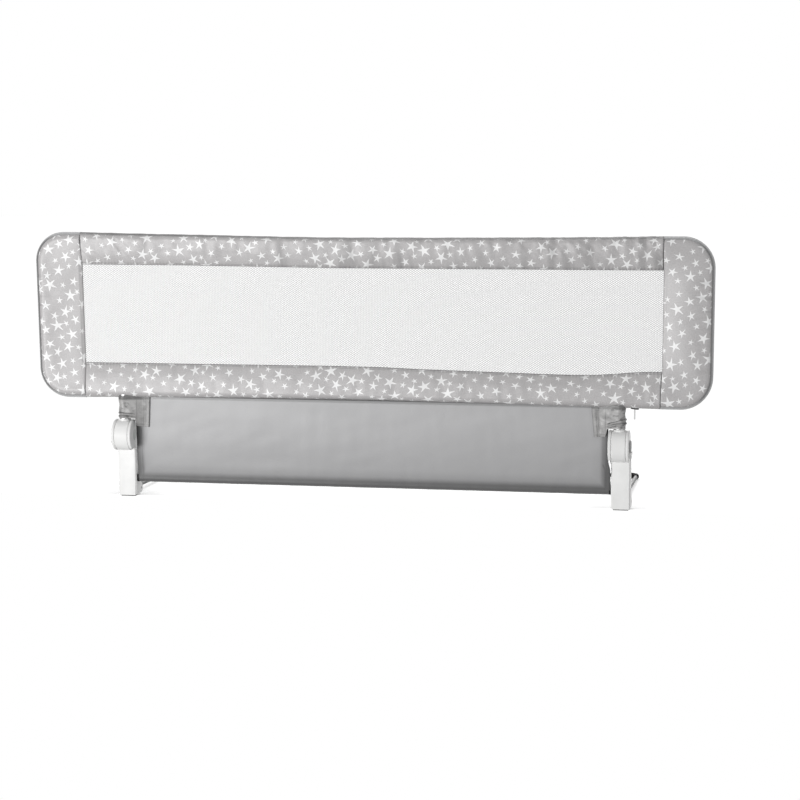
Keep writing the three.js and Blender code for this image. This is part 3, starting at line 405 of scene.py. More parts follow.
@dataclass(frozen=True)
class Moulded(Finish):
    """Moulded plastic or rubber with a fine grain, faint flow marks and a little soil."""

    tint: Triple = (1.0, 1.0, 1.0)
    roughness: float = 0.38
    grain: float = 1400.0
    relief: float = 0.08
    soil: float = 0.06
    gloss: float = 0.5

    def surface(self, graph: Graph) -> Feeds:
        """Adds the plastic's nodes, read in the object's coordinates."""
        flow = graph.noise(graph.place(), 38.0, 3.0)
        graph.bump(graph.noise(graph.place(), self.grain), self.relief, 0.0002)
        worn = shade(self.level * (1 - self.soil), self.tint)
        return {"Base Color": graph.mix(graph.spread(flow, -0.2, 1.0), shade(self.level, self.tint), worn),
                "Roughness": graph.spread(flow, self.roughness - 0.05, self.roughness + 0.07),
                "Specular IOR Level": self.gloss}


@dataclass(frozen=True)
class Metal(Finish):
    """Drawn steel, or painted steel with a slight orange peel."""

    metallic: float = 1.0
    roughness: float = 0.32
    grain: float = 500.0

    def surface(self, graph: Graph) -> Feeds:
        """Adds the metal's nodes, read in the object's coordinates."""
        cloudy = graph.noise(graph.place(), 60.0, 4.0)
        graph.bump(graph.noise(graph.place(), self.grain), 0.06, 0.0002)
        return {"Base Color": graph.mix(cloudy, shade(self.level), shade(self.level * 0.86)),
                "Metallic": self.metallic,
                "Roughness": graph.spread(cloudy, self.roughness - 0.06, self.roughness + 0.08)}


@dataclass(frozen=True)
class Yarn(Finish):
    """The knitted yarn of the net: pale, matt and lightly twisted."""

    def surface(self, graph: Graph) -> Feeds:
        """Adds the yarn's nodes, read in the object's coordinates."""
        twist = graph.noise(graph.place(), 700.0)
        graph.bump(twist, 0.2, 0.0002)
        return {"Base Color": graph.mix(twist, shade(self.level), shade(self.level * 0.95)),
                "Roughness": 0.5, "Sheen Weight": 0.1}


# Making pieces


def linked(name: str, data: bpy.types.ID) -> Object:
    """Adds an object to the scene for its data."""
    made = bpy.data.objects.new(name, data)
    bpy.context.scene.collection.objects.link(made)
    return made


def new_piece(name: str, bm: Mesh, material: Material, sharp: float = 35.0) -> Object:
    """Turns a bmesh into an object at the origin.

    Args:
        name: The piece's name.
        bm: Its mesh, which is freed.
        material: Its material.
        sharp: The angle in degrees past which an edge stays sharp.

    Returns:
        The new object.
    """
    mesh = bpy.data.meshes.new(name)
    bm.to_mesh(mesh)
    bm.free()
    mesh.materials.append(material)
    mesh.shade_smooth()
    mesh.set_sharp_from_angle(angle=radians(sharp))
    return linked(name, mesh)


def sew(name: str, bm: Mesh, material: Material, depth: Callable[[Vector], float], thickness: float = 0.0,
        offset: float = 0.0) -> Object:
    """Makes a piece of cloth, with its painted shade in the crease attribute.

    Args:
        name: The piece's name.
        bm: Its mesh, in its shape.
        material: Its material.
        depth: The painted shade at a point, from 0 on open cloth to 1 in a seam or a deep fold.
        thickness: How thick it is, where its mesh is a single layer.
        offset: -1 puts the thickness inside and 0 to both sides.

    Returns:
        The piece.
    """
    # The crease attribute stores each point's painted shade.
    layer = bm.verts.layers.float.new("crease")
    for vert in bm.verts:
        vert[layer] = depth(vert.co)
    piece = new_piece(name, bm, material)
    if thickness:
        wall = piece.modifiers.new("thickness", "SOLIDIFY")
        wall.thickness, wall.offset = thickness, offset
    return piece


def declare(piece: Object, body: str, slot: str, node: str) -> Object:
    """Puts a piece on its body and hides the node that it stands for.

    Args:
        piece: The piece.
        body: The body that it rides on.
        slot: The record's material slot; not used.
        node: The node that it replaces.

    Returns:
        The piece.
    """
    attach(piece, body)
    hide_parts(node)
    LOG.info("%s rides on %s", piece.name, body)
    return piece


def cloth_grid(columns: int, rows: int, place: Callable[[float, float], Vector],
               cut: Pair | Callable[[float, float, bool], Pair], crowding: float = 0.0) -> Mesh:
    """A cloth as a flat grid that is then laid in its shape, with the cut's coordinates kept as its map.

    Args:
        columns: Squares along the cut.
        rows: Squares across it.
        place: Where a point of the cut goes, from its shares of the length and the width.
        cut: The cut's length and width, or a point's place in the map from the same shares and whether it is
            in the second half of the width.
        crowding: How much the lines draw together towards the edges.

    Returns:
        The cloth's mesh.
    """
    chart = cut if callable(cut) else lambda u, v, second: (u * cut[0], v * cut[1])
    bm = bmesh.new()
    bmesh.ops.create_grid(bm, x_segments=columns, y_segments=rows, size=0.5)
    layer = bm.loops.layers.uv.new("cut")
    for face in bm.faces:
        second = face.calc_center_median().y > 0
        for loop in face.loops:
            loop[layer].uv = chart(*(crowded(way + 0.5, crowding) for way in loop.vert.co.xy), second)
    for vert in bm.verts:
        vert.co = place(*(crowded(way + 0.5, crowding) for way in vert.co.xy))
    bm.normal_update()
    return bm


def face_outwards(bm: Mesh, inside: Callable[[Vector], Vector]) -> None:
    """Turns a cloth's faces away from a point inside it.

    Args:
        bm: The cloth's mesh.
        inside: The nearest inside point to a point on the cloth.
    """
    facing = 0.0
    for face in bm.faces:
        centre = face.calc_center_median()
        facing += face.normal.dot(centre - inside(centre)) * face.calc_area()
    if facing < 0:
        bmesh.ops.reverse_faces(bm, faces=bm.faces)


class Path:
    """A run of points in a plane, read by the share of its length."""

    def __init__(self, points: Sequence[Pair]) -> None:
        """Measures the run between its points."""
        self.points = [Vector(point) for point in points]
        self.ends = [0.0]
        for before, after in zip(self.points, self.points[1:]):
            self.ends.append(self.ends[-1] + (after - before).length)
        self.length = self.ends[-1]

    @cache
    def at(self, share: float) -> Vector:
        """The point at a share of the length.

        Args:
            share: From 0 to 1.

        Returns:
            The point.
        """
        goal = clamp(share) * self.length
        low = bisect_right(self.ends, goal, 1, len(self.ends) - 1) - 1
        span = max(self.ends[low + 1] - self.ends[low], 1e-9)
        return self.points[low].lerp(self.points[low + 1], (goal - self.ends[low]) / span)

    @cache
    def normal(self, share: float) -> Vector:
        """The unit vector to the left of the run at a share of its length."""
        span = 0.004
        along = self.at(share + span) - self.at(share - span)
        return Vector((-along.y, along.x)).normalized()


def clamp(value: float) -> float:
    """Keeps a value between 0 and 1."""
    return min(max(value, 0.0), 1.0)


def bell(distance: float, width: float) -> float:
    """A soft line: 1 at no distance and near 0 past twice its width."""
    return exp(-(distance / width) ** 2)


def ripple(x: float, y: float, seed: float) -> float:
    """Smooth noise in a plane, from about -1 to 1 and the same in every run, at a place in features."""
    return noise.noise(Vector((x, y, seed)))


def crowded(share: float, crowding: float) -> float:
    """Draws a grid's lines, from 0 to 1, towards both ends, where 1 lets them touch."""
    return share - crowding * sin(2 * pi * share) / (2 * pi)


def fade(value: float, start: float, end: float) -> float:
    """A smooth step from 0 at its start to 1 at its end."""
    share = clamp((value - start) / (end - start))
    return share * share * (3 - 2 * share)


def read_table(table: Rows, value: float) -> float:
    """Reads a table of places and values, with straight runs between its rows.

    Args:
        table: Its rows, in order of place.
        value: The place to read.

    Returns:
        The value there, or the nearest row's outside the table.
    """
    for (low, before), (high, after) in zip(table, table[1:]):
        if value <= high:
            return before + (after - before) * clamp((value - low) / (high - low))
    return table[-1][1]


def middle(node: str) -> list[float]:
    """The middle of a node's box."""
    return [(low + high) / 2 for low, high in zip(*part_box(node))]


@dataclass
class GuardSizes:
    """Places of the guard that its pieces share, read from the frame."""

    sleeve: float = 0.013
    seam_half: float = 0.0018
    edge: float = 0.0171
    swell: float = 0.0024
    bend: float = 0.050
    lean_width: float = 0.040
    leans: dict[Side, Rows] = field(default_factory=lambda: {
        Side.LEFT: ((0.0, -0.0020), (0.21, -0.0014), (0.8, 0.0026), (1.0, 0.0048)),
        Side.RIGHT: ((0.0, -0.0038), (0.21, -0.0012), (0.8, 0.0), (1.0, 0.0)),
    })
    raises: Rows = ((-1.0, 0.0048), (-0.55, 0.0042), (-0.1, 0.0004), (1.0, 0.0004))
    drops: Rows = ((-1.0, 0.0024), (-0.6, 0.0020), (0.0, 0.0006), (0.6, 0.0024), (1.0, 0.0040))
    dips: Rows = ((-0.10, 0.0), (0.05, 0.0012), (0.15, 0.0036), (0.35, 0.0066), (0.52, 0.0092),
                  (0.60, 0.0098), (0.67, 0.0086), (0.72, 0.0060), (0.77, 0.0020), (0.82, 0.0))

    def __post_init__(self) -> None:
        """Reads the hinge, band, window and bow places from the frame."""
        _, self.plane, self.hinge_z = frame["joints"][0]["pos_m"]
        top_low, top_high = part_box("cover_top")
        low_low, low_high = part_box("cover_bottom")
        self.panel_top, self.window_top = top_high.z, top_low.z
        self.window_bottom, self.panel_bottom = low_high.z, low_low.z
        self.seam_x = top_high.x
        self.end_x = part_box("piping_right")[1].x
        self.tube_top = self.panel_top - self.edge
        self.tube_bottom = self.panel_bottom + self.edge
        self.bow_x = self.end_x - self.edge
        self.middle_z = (self.window_top + self.window_bottom) / 2

    def settled(self, spot: Vector) -> Vector:
        """Moves a point of the cover as the sewn cloth settles on its frame.

        The end seams lean a little, the left end stands taller, both ends hang lower than the middle, and the
        window's lower edge sags to the right of the middle.

        Args:
            spot: A point of a band, an end piece or the net.

        Returns:
            The moved point.
        """
        side = Side.of(spot.x)
        near = 1 - fade(self.seam_x - abs(spot.x), 0.0, self.lean_width)
        above = clamp((spot.z - self.middle_z) / (self.window_top - self.middle_z))
        below = clamp((self.middle_z - spot.z) / (self.middle_z - self.panel_bottom))
        along = spot.x / self.end_x
        lift = above * read_table(self.raises, along) - below * read_table(self.drops, along)
        slack = fade(spot.z, self.tube_bottom + self.sleeve, self.window_bottom)
        slack *= fade(spot.z, self.window_top, self.window_bottom)
        lift -= slack * read_table(self.dips, along)
        return Vector((spot.x + side.value * near * self.lean(side, spot.z), spot.y, spot.z + lift))

    def lean(self, side: Side, z: float) -> float:
        """How far an end's seam leans outwards at a height."""
        return read_table(self.leans[side], (z - self.panel_bottom) / (self.panel_top - self.panel_bottom))

    def wrap(self, depth: float) -> Path:
        """The section of cloth that runs from the seam out to the tube, round it and back.

        Args:
            depth: From the seam to the tube's middle.

        Returns:
            Its run as (outwards, y), from the front to the back.
        """
        tilt = asin((self.sleeve - self.seam_half) / depth)
        run, off = depth - self.sleeve * sin(tilt), self.sleeve * cos(tilt)
        shares = [i / 8 for i in range(1, 8)]
        flat = [(run * share, self.seam_half + (off - self.seam_half) * share + self.swell * sin(pi * share))
                for share in shares]
        points = [(0.0, -self.seam_half)] + [(along, -out) for along, out in flat]
        steps = 28
        for i in range(steps + 1):
            angle = -(pi / 2 + tilt) + (pi + 2 * tilt) * i / steps
            radius = self.edge if cos(angle) > 0 else self.sleeve
            points.append((depth + radius * cos(angle), self.sleeve * sin(angle)))
        return Path(points + flat[::-1] + [(0.0, self.seam_half)])

    def bow(self) -> Path:
        """The middle line of an end's bow, from the upper seam round to the lower one, as (x, z)."""
        start_x, centre_x = self.seam_x + SEAM_GAP, self.bow_x - self.bend
        points = [(start_x, self.tube_top)]
        steps = 24
        for centre_z, start in ((self.tube_top - self.bend, pi / 2), (self.tube_bottom + self.bend, 0.0)):
            for i in range(steps + 1):
                angle = start - (pi / 2) * i / steps
                points.append((centre_x + self.bend * cos(angle), centre_z + self.bend * sin(angle)))
        return Path(points + [(start_x, self.tube_bottom)])


# Cover


@dataclass
class CoverBand:
    """A band of the cover along the tube, above or below the window."""

    sizes: GuardSizes
    name: str
    upper: bool
    seed: float
    columns: int = 520
    rows: int = 64
    crowding: float = 0.78
    gather: float = 0.0026
    sag: float = 0.0055
    crest_calm: float = 0.72

    def build(self, material: Material) -> Object:
        """Lays the band round its tube.

        Args:
            material: The printed cloth.

        Returns:
            The band.
        """
        s = self.sizes
        seam_z, tube_z = (s.window_top, s.tube_top) if self.upper else (s.window_bottom, s.tube_bottom)
        out = 1.0 if self.upper else -1.0
        depth = abs(tube_z - seam_z)
        path = s.wrap(depth)
        length = 2 * s.seam_x
        upright_x = middle("upright_right")[0]
        lumpy = 0.0 if self.upper else 0.0016

        def place(u: float, v: float) -> Vector:
            """Lays a point, with gathers, and lumps where the uprights push the lower edge out."""
            point, normal = path.at(v), path.normal(v)
            x = (u - 0.5) * length
            from_seam = min(v, 1 - v) * path.length
            from_end = (0.5 - abs(u - 0.5)) * length
            beyond = max(point.x - depth, 0.0) / s.edge
            lift = self.relief(x, v, from_seam) - SEAM_DIP * exp(-from_end / SEAM_REACH)
            lift *= fade(from_seam, 0.0, 0.004) * (1 - self.crest_calm * fade(beyond, 0.3, 0.9))
            lumps = lumpy * ripple(x * 110, 0.0, 91) * bell(abs(x) - upright_x, 0.024)
            outwards = point.x - normal.x * lift - beyond * (self.slump(x) + lumps)
            return s.settled(Vector((x, s.plane + point.y - normal.y * lift, seam_z + out * outwards)))

        bm = cloth_grid(self.columns, self.rows, place, (length, path.length), self.crowding)
        face_outwards(bm, lambda p: Vector((p.x, s.plane, tube_z if (p.z - tube_z) * out > 0 else p.z)))
        band = sew(self.name, bm, material, self.depth, COVER_THICKNESS, -1.0)
        declare(band, "guard", "cover_fabric", self.name)
        return band

    def slump(self, x: float) -> float:
        """How far the outer edge lies nearer to the tube than at the ends, at an X."""
        share = clamp((x + self.sizes.seam_x) / (2 * self.sizes.seam_x))
        return self.sag * max(sin(pi * share ** 0.85), 0.0) ** 0.8

    def depth(self, spot: Vector) -> float:
        """The painted shade at a point: in the seams, along the window with small darker ticks, along the outer
        edge where the cloth turns from the light, and in the gathers.

        Args:
            spot: The point.

        Returns:
            From 0 to 1.
        """
        s = self.sizes

        def level(z: float) -> float:
            """The height that a level of the cover has settled to here."""
            return s.settled(Vector((spot.x, spot.y, z))).z

        from_window = abs(spot.z - level(s.window_top if self.upper else s.window_bottom))
        # Painted shade in the seams at the ends and along the window.
        end = bell(abs(spot.x) - s.seam_x - s.lean(Side.of(spot.x), spot.z), 0.0012)
        window = 0.7 * bell(from_window, 0.0016)
        ticks = 0.32 * bell(from_window, 0.0065) * (0.5 + 0.5 * sin(spot.x * 2 * pi / 0.0075))
        # Painted shade along the outer edge, where the cloth turns away from the light.
        if self.upper:
            below = level(s.panel_top) - self.slump(spot.x) - spot.z + 0.0005 * ripple(spot.x * 34, 0.0, 77)
            line = 0.35 * fade(below, 0.0062, 0.0042) + 0.65 * fade(below, 0.0040, 0.0026)
            drawn = 0.06 + 0.22 * fade(spot.x, -0.30, -0.12)
        else:
            from_edge = abs(spot.z - level(s.panel_bottom))
            line = 0.18 * fade(from_edge, 0.013, 0.0) + 0.25 * fade(from_edge, 0.0035, 0.0)
            drawn = 0.08
        # Painted shade in the valleys of the gathers.
        folds = drawn * fade(ripple(spot.x * 46, spot.z * 12, 63), 0.0, 0.38)
        folds += 0.6 * drawn * fade(ripple(spot.x * 88 + spot.z * 18, spot.z * 16, 67), 0.12, 0.5)
        return min(max(end, window + ticks, line) + folds, 1.0)

    def relief(self, x: float, v: float, from_seam: float) -> float:
        """How far the cloth stands off its straight section.

        Args:
            x: Along the rail.
            v: Share of the way round.
            from_seam: Distance from the nearer seam.

        Returns:
            The lift, in metres.
        """
        gathers = ripple(x * 24, v * 1.5, self.seed) + 0.55 * ripple(x * 58, v * 2.4, self.seed + 5)
        slack = ripple(x * 7, v * 3.0, self.seed + 9)
        cross = ripple(x * 17, v * 19.0, self.seed + 14) * fade(from_seam, 0.01, 0.03)
        pucker = 0.00030 * sin(2 * pi * x / 0.009 + 2 * ripple(x * 30, 0, 1))
        pucker *= exp(-abs(from_seam - 0.005) / 0.004)
        gather = self.gather if self.upper else 0.5 * self.gather
        creased = 0.3 + 0.7 * max(fade(x, 0.15, 0.5), fade(-x, 0.5, 0.56)) if self.upper else 0.3
        gathers += 0.7 * creased * ripple(x * 95 + v * 14, v * 5.0, self.seed + 21)
        lift = gather * fade(from_seam, 0.006, 0.04) * gathers
        return lift + 0.0010 * slack * fade(from_seam, 0.004, 0.02) + 0.0004 * cross + pucker


@dataclass
class CoverEnd:
    """A rounded end piece of the cover, from the window's seam round the bow."""

    sizes: GuardSizes
    side: Side
    columns: int = 200
    rows: int = 100
    flat_share: float = 0.38
    crowding: float = 1.45
    belly: float = 0.0045
    seam_share: float = 0.42
    least_off: float = 0.0008
    back_shift: float = 0.4

    def build(self, material: Material) -> Object:
        """Lays the end piece.

        Args:
            material: The printed cloth.

        Returns:
            The end piece.
        """
        s = self.sizes
        bow = s.bow()
        turn = self.side.value
        height = s.window_top - s.window_bottom

        def hub(u: float) -> Vector:
            """The point of the window's seam that a line of the cloth starts from."""
            return Vector((s.seam_x + SEAM_GAP, s.window_top - height * u))

        def place(u: float, v: float) -> Vector:
            """Lays a point: flat from the seam to the bow, then round it, on the front and on the back."""
            centre, out = bow.at(u), bow.normal(u)
            front = min(v, 1 - v)
            face = -1.0 if v < 0.5 else 1.0
            if front < self.flat_share:
                share = (front / self.flat_share) ** self.crowding
                flat = hub(u).lerp(centre, share)
                off = s.seam_half + (s.sleeve - s.seam_half) * share
                if self.side is Side.RIGHT:
                    off += self.belly * 4 * share * (1 - share)
                off += self.tension(flat, face) * fade(share, 0.0, 0.3) * fade(1 - share, 0.0, 0.2)
            else:
                angle = -pi / 2 + pi * (front - self.flat_share) / (1 - 2 * self.flat_share)
                flat = centre + out * (s.sleeve * cos(angle))
                off = -s.sleeve * sin(angle)
            if front < self.seam_share:
                off = max(off - SEAM_DIP * exp(-(flat.x - s.seam_x) / SEAM_REACH), self.least_off)
            return s.settled(Vector((turn * flat.x, s.plane + face * off, flat.y)))

        def chart(u: float, v: float, second: bool) -> Pair:
            """Maps a point as it lies, with the back beside the front."""
            front = min(v, 1 - v)
            share = min(front / self.flat_share, 1.0) ** self.crowding
            arc = max(front - self.flat_share, 0.0) / (1 - 2 * self.flat_share) * pi * s.sleeve
            flat = hub(u).lerp(bow.at(u), share) + bow.normal(u) * arc
            return (turn * flat.x, flat.y + (self.back_shift if second else 0.0))

        name = f"cover_end_{self.side.word}"
        bm = cloth_grid(self.columns, self.rows, place, chart)
        face_outwards(bm, lambda p: Vector((p.x * 0.98, s.plane, p.z)))
        piece = sew(name, bm, material, self.depth, COVER_THICKNESS, -1.0)
        declare(piece, "guard", "cover_fabric", name)
        return piece

    def tension(self, flat: Vector, face: float) -> float:
        """How far the flat cloth stands off its straight run, in soft drag lines.

        Args:
            flat: The place as (x, z).
            face: -1 on the front and 1 on the back.

        Returns:
            The lift, in metres.
        """
        s = self.sizes
        seed = 21 + face + 4 * self.side.value
        broad = ripple(flat.x * 17 + flat.y * 7, flat.y * 12 - flat.x * 5, seed)
        drag = ripple((flat.x + flat.y) * 34, (flat.x - flat.y) * 11, seed + 8)
        pull = ripple(flat.x * 12, flat.y * 110, seed + 3) * fade(flat.x, s.bow_x - 0.045, s.bow_x)
        pull *= bell(flat.y - s.middle_z, 0.075)
        return 0.0013 * broad + 0.0007 * drag * fade(flat.x, s.seam_x + 0.03, s.bow_x) + 0.0013 * pull

    def depth(self, spot: Vector) -> float:
        """The painted shade at a point: in the seam, in lines along the window's edge that are darker on the left
        end, and in the pull wrinkles near the bow.

        Args:
            spot: The point.

        Returns:
            From 0 to 1.
        """
        s = self.sizes
        left = self.side is Side.LEFT
        from_seam = abs(spot.x) - s.seam_x - s.lean(self.side, spot.z)
        beside_window = s.window_bottom < spot.z < s.window_top + 0.004
        # Painted shade lines along the window's edge, darker on the left end.
        tape = (0.55 if left else 0.2) * bell(from_seam - 0.0072, 0.0013) if beside_window else 0.0
        inside = 0.25 * fade(from_seam, 0.0075, 0.0065) if beside_window and left else 0.0
        pulls = 0.32 * fade(ripple(abs(spot.x) * 12, spot.z * 110, 20 + 4 * self.side.value), 0.0, 0.45)
        pulls *= fade(abs(spot.x), s.bow_x - 0.04, s.bow_x) * bell(spot.z - s.middle_z, 0.11)
        return max(0.75 * bell(from_seam, 0.0012), tape, inside, pulls)


@dataclass
class Binding:
    """The pale strip of cloth sewn round the outer edge of an end piece, between its front and its back."""

    sizes: GuardSizes
    side: Side
    half_angle: float = 37.0
    inner: float = 0.01325
    rise: float = 0.0038
    columns: int = 220
    rows: int = 16

    def build(self, material: Material) -> Object:
        """Sweeps the strip round the end.

        Args:
            material: The strip's cloth.

        Returns:
            The strip.
        """
        s = self.sizes
        bow = s.bow()
        reach = radians(self.half_angle)
        seam = self.inner * sin(reach)

        def place(u: float, v: float) -> Vector:
            """The outer face over the first half of the girth, and the inner face back over the second."""
            outer = v < 0.5
            across = 4 * v - 1 if outer else 3 - 4 * v
            angle = reach * across
            crown = self.rise * max(1 - across ** 2, 0.0) ** 0.45 if outer else 0.0
            pucker = 0.00016 * sin(u * bow.length * 2 * pi / 0.006) * (abs(across) > 0.6) if outer else 0.0
            radius = self.inner + max(crown + pucker, 0.0)
            spot = bow.at(u) + bow.normal(u) * (radius * cos(angle))
            return s.settled(Vector((self.side.value * spot.x, s.plane + radius * sin(angle), spot.y)))

        def depth(spot: Vector) -> float:
            """The painted shade along the seams, darker towards the bow's outer side."""
            strength = 0.5 + 0.4 * fade(abs(spot.x), s.bow_x - 0.03, s.bow_x)
            return strength * bell(abs(spot.y - s.plane) - seam, 0.0008)

        name = f"piping_{self.side.word}"
        girth = 4 * reach * (self.inner + self.rise)
        bm = cloth_grid(self.columns, 2 * self.rows, place, (bow.length, girth))
        bmesh.ops.remove_doubles(bm, verts=bm.verts, dist=1e-5)
        bmesh.ops.holes_fill(bm, edges=[e for e in bm.edges if e.is_boundary], sides=2 * self.rows + 4)
        bmesh.ops.recalc_face_normals(bm, faces=bm.faces)
        return declare(sew(name, bm, material, depth), "guard", "piping_fabric", name)


@dataclass
class WindowNet:
    """The window's fine net: two sets of strands, by their slant, width and distance behind its plane."""

    sizes: GuardSizes
    pitch: float = 0.0037
    strands: tuple[Triple, ...] = ((1.6, 0.0015, 0.00028), (-1.6, 0.0010, -0.00028))
    thickness: float = 0.0005
    trim: float = 0.0002

    def build(self, material: Material) -> Object:
        """Lays the strands and trims them to the window.

        Args:
            material: The yarn.

        Returns:
            The net.
        """
        s = self.sizes
        low, high = s.window_bottom + SEAM_GAP, s.window_top - SEAM_GAP
        height = high - low
        bm = bmesh.new()
        for slant, width, level in self.strands:
            step = self.pitch * hypot(1, slant)
            reach = abs(slant) * height
            for i in range(int((2 * s.seam_x + reach) / step) + 1):
                foot = -s.seam_x - (reach if slant > 0 else 0.0) + i * step
                self.strand_between(bm, (foot, foot + slant * height), (low, high), width, level)
        limit = s.seam_x - self.trim
        for way in (1, -1):
            cut = bmesh.ops.bisect_plane(bm, geom=bm.verts[:] + bm.edges[:] + bm.faces[:], clear_outer=True,
                                         plane_co=Vector((way * limit, 0, 0)), plane_no=Vector((way, 0, 0)))
            edges = [e for e in cut["geom_cut"] if isinstance(e, bmesh.types.BMEdge)]
            bmesh.ops.holes_fill(bm, edges=edges, sides=4)
        bmesh.ops.recalc_face_normals(bm, faces=bm.faces)
        for vert in bm.verts:
            vert.co = s.settled(vert.co)
        net = declare(new_piece("window_net", bm, material), "guard", "net_fabric", "window_net")
        return net

    def strand_between(self, bm: Mesh, run: Pair, heights: Pair, width: float, level: float) -> None:
        """Adds one straight strand.

        Args:
            bm: The net's mesh.
            run: X at its lower and upper end.
            heights: Z of its lower and upper end.
            width: How wide it is.
            level: Its distance behind the window's middle plane.
        """
        half = width / 2 * hypot(1, (run[1] - run[0]) / (heights[1] - heights[0]))
        for vert in bmesh.ops.create_cube(bm, size=1.0)["verts"]:
            share = vert.co.z + 0.5
            x = run[0] + (run[1] - run[0]) * share + (half if vert.co.x > 0 else -half)
            y = self.sizes.plane + level + vert.co.y * self.thickness
            vert.co = Vector((x, y, heights[0] + (heights[1] - heights[0]) * share))


# Skirt and ears


@dataclass
class Skirt:
    """The skirt: one cloth from the lower band down to the rod in its hem."""

    sizes: GuardSizes
    thickness: float = 0.0007
    half: float = 0.5283
    columns: int = 320
    rows: int = 96
    hem_radius: float = 0.0083
    side_hem: float = 0.0135
    flare: float = 0.0040

    def __post_init__(self) -> None:
        """Finds the rod in the hem."""
        _, self.rod_y, self.rod_z = middle("hem_rod")

    def section(self) -> Path:
        """The skirt's section as (y, z).

        Returns:
            The run from the band down, round the rod and up to the hem's stitches.
        """
        top_y, top_z = self.sizes.plane + 0.0004, self.sizes.panel_bottom - 0.004
        front = self.rod_y - self.hem_radius
        points = [(top_y, self.sizes.panel_bottom + 0.003), (top_y, top_z)]
        for share in (i / 12 for i in range(1, 12)):
            back = top_y + (front - top_y) * (0.75 * share + 0.25 * share ** 2.5)
            points.append((back, top_z + (self.rod_z + 0.004 - top_z) * share))
        for i in range(17):
            angle = pi * 0.96 + pi * 1.16 * i / 16
            points.append((self.rod_y + self.hem_radius * cos(angle),
                           self.rod_z + self.hem_radius * sin(angle)))
        return Path(points + [(front + 0.0014, self.rod_z + 0.021)])

    def build(self, material: Material) -> Object:
        """Hangs the skirt.

        Args:
            material: The coated cloth.

        Returns:
            The skirt.
        """
        path = self.section()
        length = 2 * self.half

        def place(u: float, v: float) -> Vector:
            """Lays a point, with the lower corners drawn out and the free cloth a little uneven."""
            point, normal = path.at(v), path.normal(v)
            x = (u - 0.5) * length
            drawn = fade(abs(x), self.half - 0.06, self.half) * fade(point.y, 0.108, 0.086)
            x += drawn * (self.flare if x > 0 else -0.001)
            down = v * path.length
            free = fade(down, 0.004, 0.05) * fade(0.18 - down, 0.0, 0.05)
            waves = 0.0016 * ripple(x * 5, down * 9, 31)
            waves += 0.0006 * ripple(x * 14 + down * 20, down * 24, 37)
            lift = free * waves
            lift += 0.0003 * ripple(x * 40, down * 12, 41) * fade(down, 0.0, 0.02)
            return Vector((x, point.x + normal.x * lift, point.y + normal.y * lift))

        bm = cloth_grid(self.columns, self.rows, place, (length, path.length))
        face_outwards(bm, lambda p: p + Vector((0.0, 1.0, 0.0)))
        skirt = sew("skirt", bm, material, self.depth, self.thickness)
        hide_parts("skirt_upper", "skirt_lower")
        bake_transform(skirt)
        LOG.info("skirt blends from guard to stand")
        return skirt

    def depth(self, spot: Vector) -> float:
        """The painted shade at a point: under the band, darker towards the bottom, over the hem round the rod and
        over the side hems.

        Args:
            spot: The point.

        Returns:
            From 0 to 1.
        """
        above_rod = spot.z - self.rod_z
        seam = 0.55 * bell(max(self.sizes.panel_bottom - 0.0030 - spot.z, 0.0), 0.0010)
        # Painted shade: the cloth grows darker towards the hem.
        low = 0.24 * fade(spot.z, self.sizes.hinge_z + 0.055, self.rod_z)
        hem = 0.22 * fade(above_rod, 0.038, 0.01) + 0.74 * fade(above_rod, 0.020, -0.001)
        # Painted shade over the side hems, which turn away from the light.
        inwards = self.half - self.side_hem - abs(spot.x)
        side = 0.45 * fade(inwards, 0.007, -0.004) + 0.5 * fade(inwards, -0.003, -0.0125)
        side += 0.12 * fade(inwards, 0.03, 0.0) + 0.2 * bell(inwards + 0.002, 0.0011)
        return min(max(seam, low + hem, low + side), 1.0)


